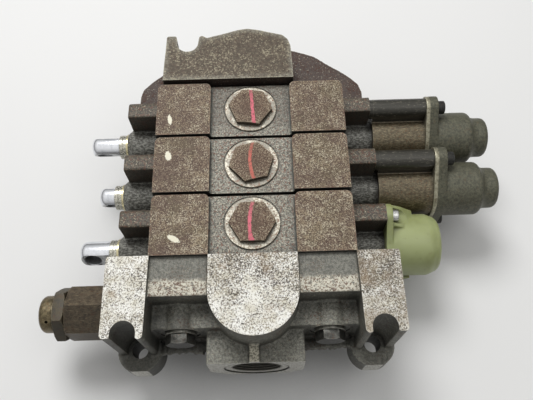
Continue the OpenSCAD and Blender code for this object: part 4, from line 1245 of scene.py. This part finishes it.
def short_screws():
    pieces = []
    x = BOSS_X + 4.5
    profile = [(0, x - 16.5), (2.45, x - 16), (2.45, x), (4.1, x), (4.3, x + 0.2),
               (4.3, x + 3.8), (4.1, x + 4.4), (3.3, x + 4.9), (2.0, x + 5.0), (0, x + 5.0)]
    for side in (-1, 1):
        y, z = ear(section_y(3), side)
        piece = make("screw", [lathe(profile, "x", (y, z), 64)])
        slot = box(x + 3.4, x + 6, y - 0.5, y + 0.5, z - 2.4, z + 2.4)
        boolean(piece, *[turned(slot, "x", turn + 20, (0, y, z)) for turn in (0, 90)])
        pieces.append(sharpen(piece))
    finish(joined("cap_screw_short_set", pieces), MATERIALS["zinc"], "cap_screws_short")


def relief():
    """Hexagon body with its neck, lock nut and cap, on the left of the inlet section."""
    axis = (RELIEF_Y, AXIS_Z)
    centre = (0, *axis)
    piece = make("relief", [prism(hexagon(33, axis, 87), "x", -128, -93.55)])
    chamfer = [(0, -128), (17.5, -128), (18.2, -127.6), (19.3, -126.6), (19.3, -95.0),
               (18.4, -93.9), (17.6, -93.5), (0, -93.5)]
    boolean(piece, lathe(chamfer, "x", axis, 128), op="INTERSECT")
    boolean(piece, cylinder("x", axis, 7, -118, -90))
    boolean(piece, cylinder("x", axis, 6.05, -129, -100))
    bevelled(piece, 0.45, 3)
    neck = [(7, -94.0), (15.3, -94.0), (15.5, -93.8), (15.5, -92.2), (10.95, -92.2),
            (10.95, -60.6), (10.4, -60), (4, -60), (4, -64), (7, -64)]
    neck = make("neck", [lathe(neck, "x", axis, 96, loop=True)])
    hole = cylinder("z", (-70, RELIEF_Y), 2.5, AXIS_Z + 5, AXIS_Z + 20, 24)
    for turn in (0, 90, 180, 270):
        boolean(neck, turned(hole, "x", turn, centre))
    sharpen(neck)
    finish(joined("relief_body_hex", [piece, neck]), MATERIALS["relief"], "relief_body")

    nut = make("relief_lock_nut_hex", [prism(hexagon(33, axis, 57), "x", -136, -128.5)])
    chamfer = [(0, -136), (17.3, -136), (18.2, -135.6), (19.3, -134.7), (19.3, -129.8),
               (18.2, -128.9), (17.4, -128.5), (0, -128.5)]
    boolean(nut, lathe(chamfer, "x", axis, 128), op="INTERSECT")
    boolean(nut, cylinder("x", axis, 6.05, -140, -120))
    bevelled(nut, 0.35, 3)
    finish(nut, MATERIALS["relief_nut"], "relief_lock_nut")

    profile = ([(0, -144.4), (7, -144.4), (7, -136), (12.5, -136), (12.8, -136.3),
                (12.8, -137.6), (12.5, -137.8), (12.5, -138.2), (12.8, -138.4), (12.8, -143.4)]
               + arc(8.9, -143.4, 3.9, -15, -75, 4) + [(8.9, -147.3), (0, -147.3)])
    cap = make("relief_cap_turned", [lathe(profile, "x", axis, 96)])
    hole = cylinder("z", (-141.2, RELIEF_Y), 1.15, AXIS_Z + 4, AXIS_Z + 20, 32)
    boolean(cap, turned(hole, "x", 38, centre))
    sharpen(cap)
    finish(cap, MATERIALS["relief_cap"], "relief_cap")


def ties():
    bolts, discs = [], []
    for side in (-1, 1):
        for z, seat in zip(TIE_Z, TIE_SEAT):
            axis = (side * TIE_X, z)
            front, back = seat - 8.5, seat - 2.1
            outline = hexagon(17, axis, 0 if z > 50 else 12)
            head = make("head", [prism(outline, "y", front, back)])
            chamfer = [(0, front), (8.6, front), (9.0, seat - 8.4), (9.9, seat - 7.7),
                       (9.9, back), (0, back)]
            boolean(head, lathe(chamfer, "y", axis, 96), op="INTERSECT")
            bolts.append(bevelled(head, 0.3, 3))
            shank = [(0, seat - 5), (5, seat - 5), (5, END_Y + 14), (4.2, END_Y + 15),
                     (0, END_Y + 15)]
            bolts.append(sharpen(make("shank", [lathe(shank, "y", axis, 48)])))
            front, back = seat - WASHER_FRONT, seat - WASHER_BACK
            disc = [(5.3, front), (9.9, front), (WASHER_R, seat - 1.75),
                    (WASHER_R, seat - 0.3), (9.9, back), (5.3, back)]
            discs.append(sharpen(make("washer", [lathe(disc, "y", axis, 96, loop=True)])))
    finish(joined("tie_bolt_set", bolts), MATERIALS["bolt"], "tie_bolts")
    finish(joined("tie_bolt_washer_set", discs), MATERIALS["washer"], "tie_bolt_washers")


inlet()
sections()
end()
for i in (1, 2):
    spring_housing(i)
    detent_cap(i)
plates()
plastic_cap()
for i in (1, 2, 3):
    plug(i)
    spool(i)
wipers()
long_screws()
short_screws()
relief()
ties()

# CAD nodes that stay only get a material: bright steel unless named here
STAYING = {"check_plug_seals": "rubber", "gallery_seals": "rubber", "spool_seals": "rubber",
           "relief_seal": "rubber", "relief_adjuster": "bolt", "gallery_plug": "bolt"}
for name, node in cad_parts.items():
    node.data.materials.clear()
    node.data.materials.append(MATERIALS[STAYING.get(name, "bright")])


# ---------------------------------------------------------------- stage, in metres
def area_light(name, location, size, power):
    light = bpy.data.lights.new(name, "AREA")
    light.shape = "DISK"
    light.size = size
    light.energy = power
    lamp = bpy.data.objects.new(name, light)
    bpy.context.scene.collection.objects.link(lamp)
    lamp.location = location
    aim = Vector((0, 0.05, 0.05)) - Vector(location)
    lamp.rotation_euler = aim.to_track_quat("-Z", "Y").to_euler()


def soft_world():
    """A sky that brightens upwards; polished parts see it brighter than the rest do."""
    world = bpy.data.worlds.new("soft")
    bpy.context.scene.world = world
    world.use_nodes = True
    tree = world.node_tree
    ray = add_node(tree, "ShaderNodeTexCoord").outputs["Generated"]
    height = add_node(tree, "ShaderNodeSeparateXYZ", {0: ray}).outputs[2]
    # Strength 0.1 at height 0, 0.56 at height 0.9
    sky = add_node(tree, "ShaderNodeMapRange", {0: height, 1: 0.0, 2: 0.9, 3: 0.1, 4: 0.56})
    glossy = add_node(tree, "ShaderNodeLightPath").outputs["Is Glossy Ray"]
    # 1.7 times as strong for glossy rays
    boost = add_node(tree, "ShaderNodeMath", {0: glossy, 1: 0.7, 2: 1.0},
                     operation="MULTIPLY_ADD")
    strength = add_node(tree, "ShaderNodeMath", {0: sky.outputs[0], 1: boost.outputs[0]},
                        operation="MULTIPLY")
    connect(tree, tree.nodes["Background"],
            {"Strength": strength.outputs[0], "Color": (1.0, 0.995, 0.985, 1)})


bpy.ops.mesh.primitive_plane_add(size=6, location=(0, 0, -0.0006))
floor = bpy.context.object
floor.name = "floor"
floor.data.materials.append(pale_floor())

soft_world()
area_light("key", location=(-0.2, 0.6, 1.14), size=0.6, power=10.2)
area_light("fill", location=(0.5, -0.1, 1.2), size=0.7, power=1.2)

CAMERA_PLACE = (0.009585, -0.125545, 0.457)
CAMERA_TILT, CAMERA_ROLL = 24.8, -1.6   # degrees
lens = bpy.data.cameras.new("camera")
lens.sensor_width = 36.0
lens.lens = 39.849906
lens.clip_start = 0.01
camera = bpy.data.objects.new("camera", lens)
bpy.context.scene.collection.objects.link(camera)
camera.matrix_world = (Matrix.Translation(CAMERA_PLACE)
                       @ Matrix.Rotation(math.radians(CAMERA_TILT), 4, "X")
                       @ Matrix.Rotation(math.radians(CAMERA_ROLL), 4, "Z"))
bpy.context.scene.camera = camera
bpy.context.scene.view_settings.view_transform = "Standard"
bpy.context.scene.view_settings.look = "None"
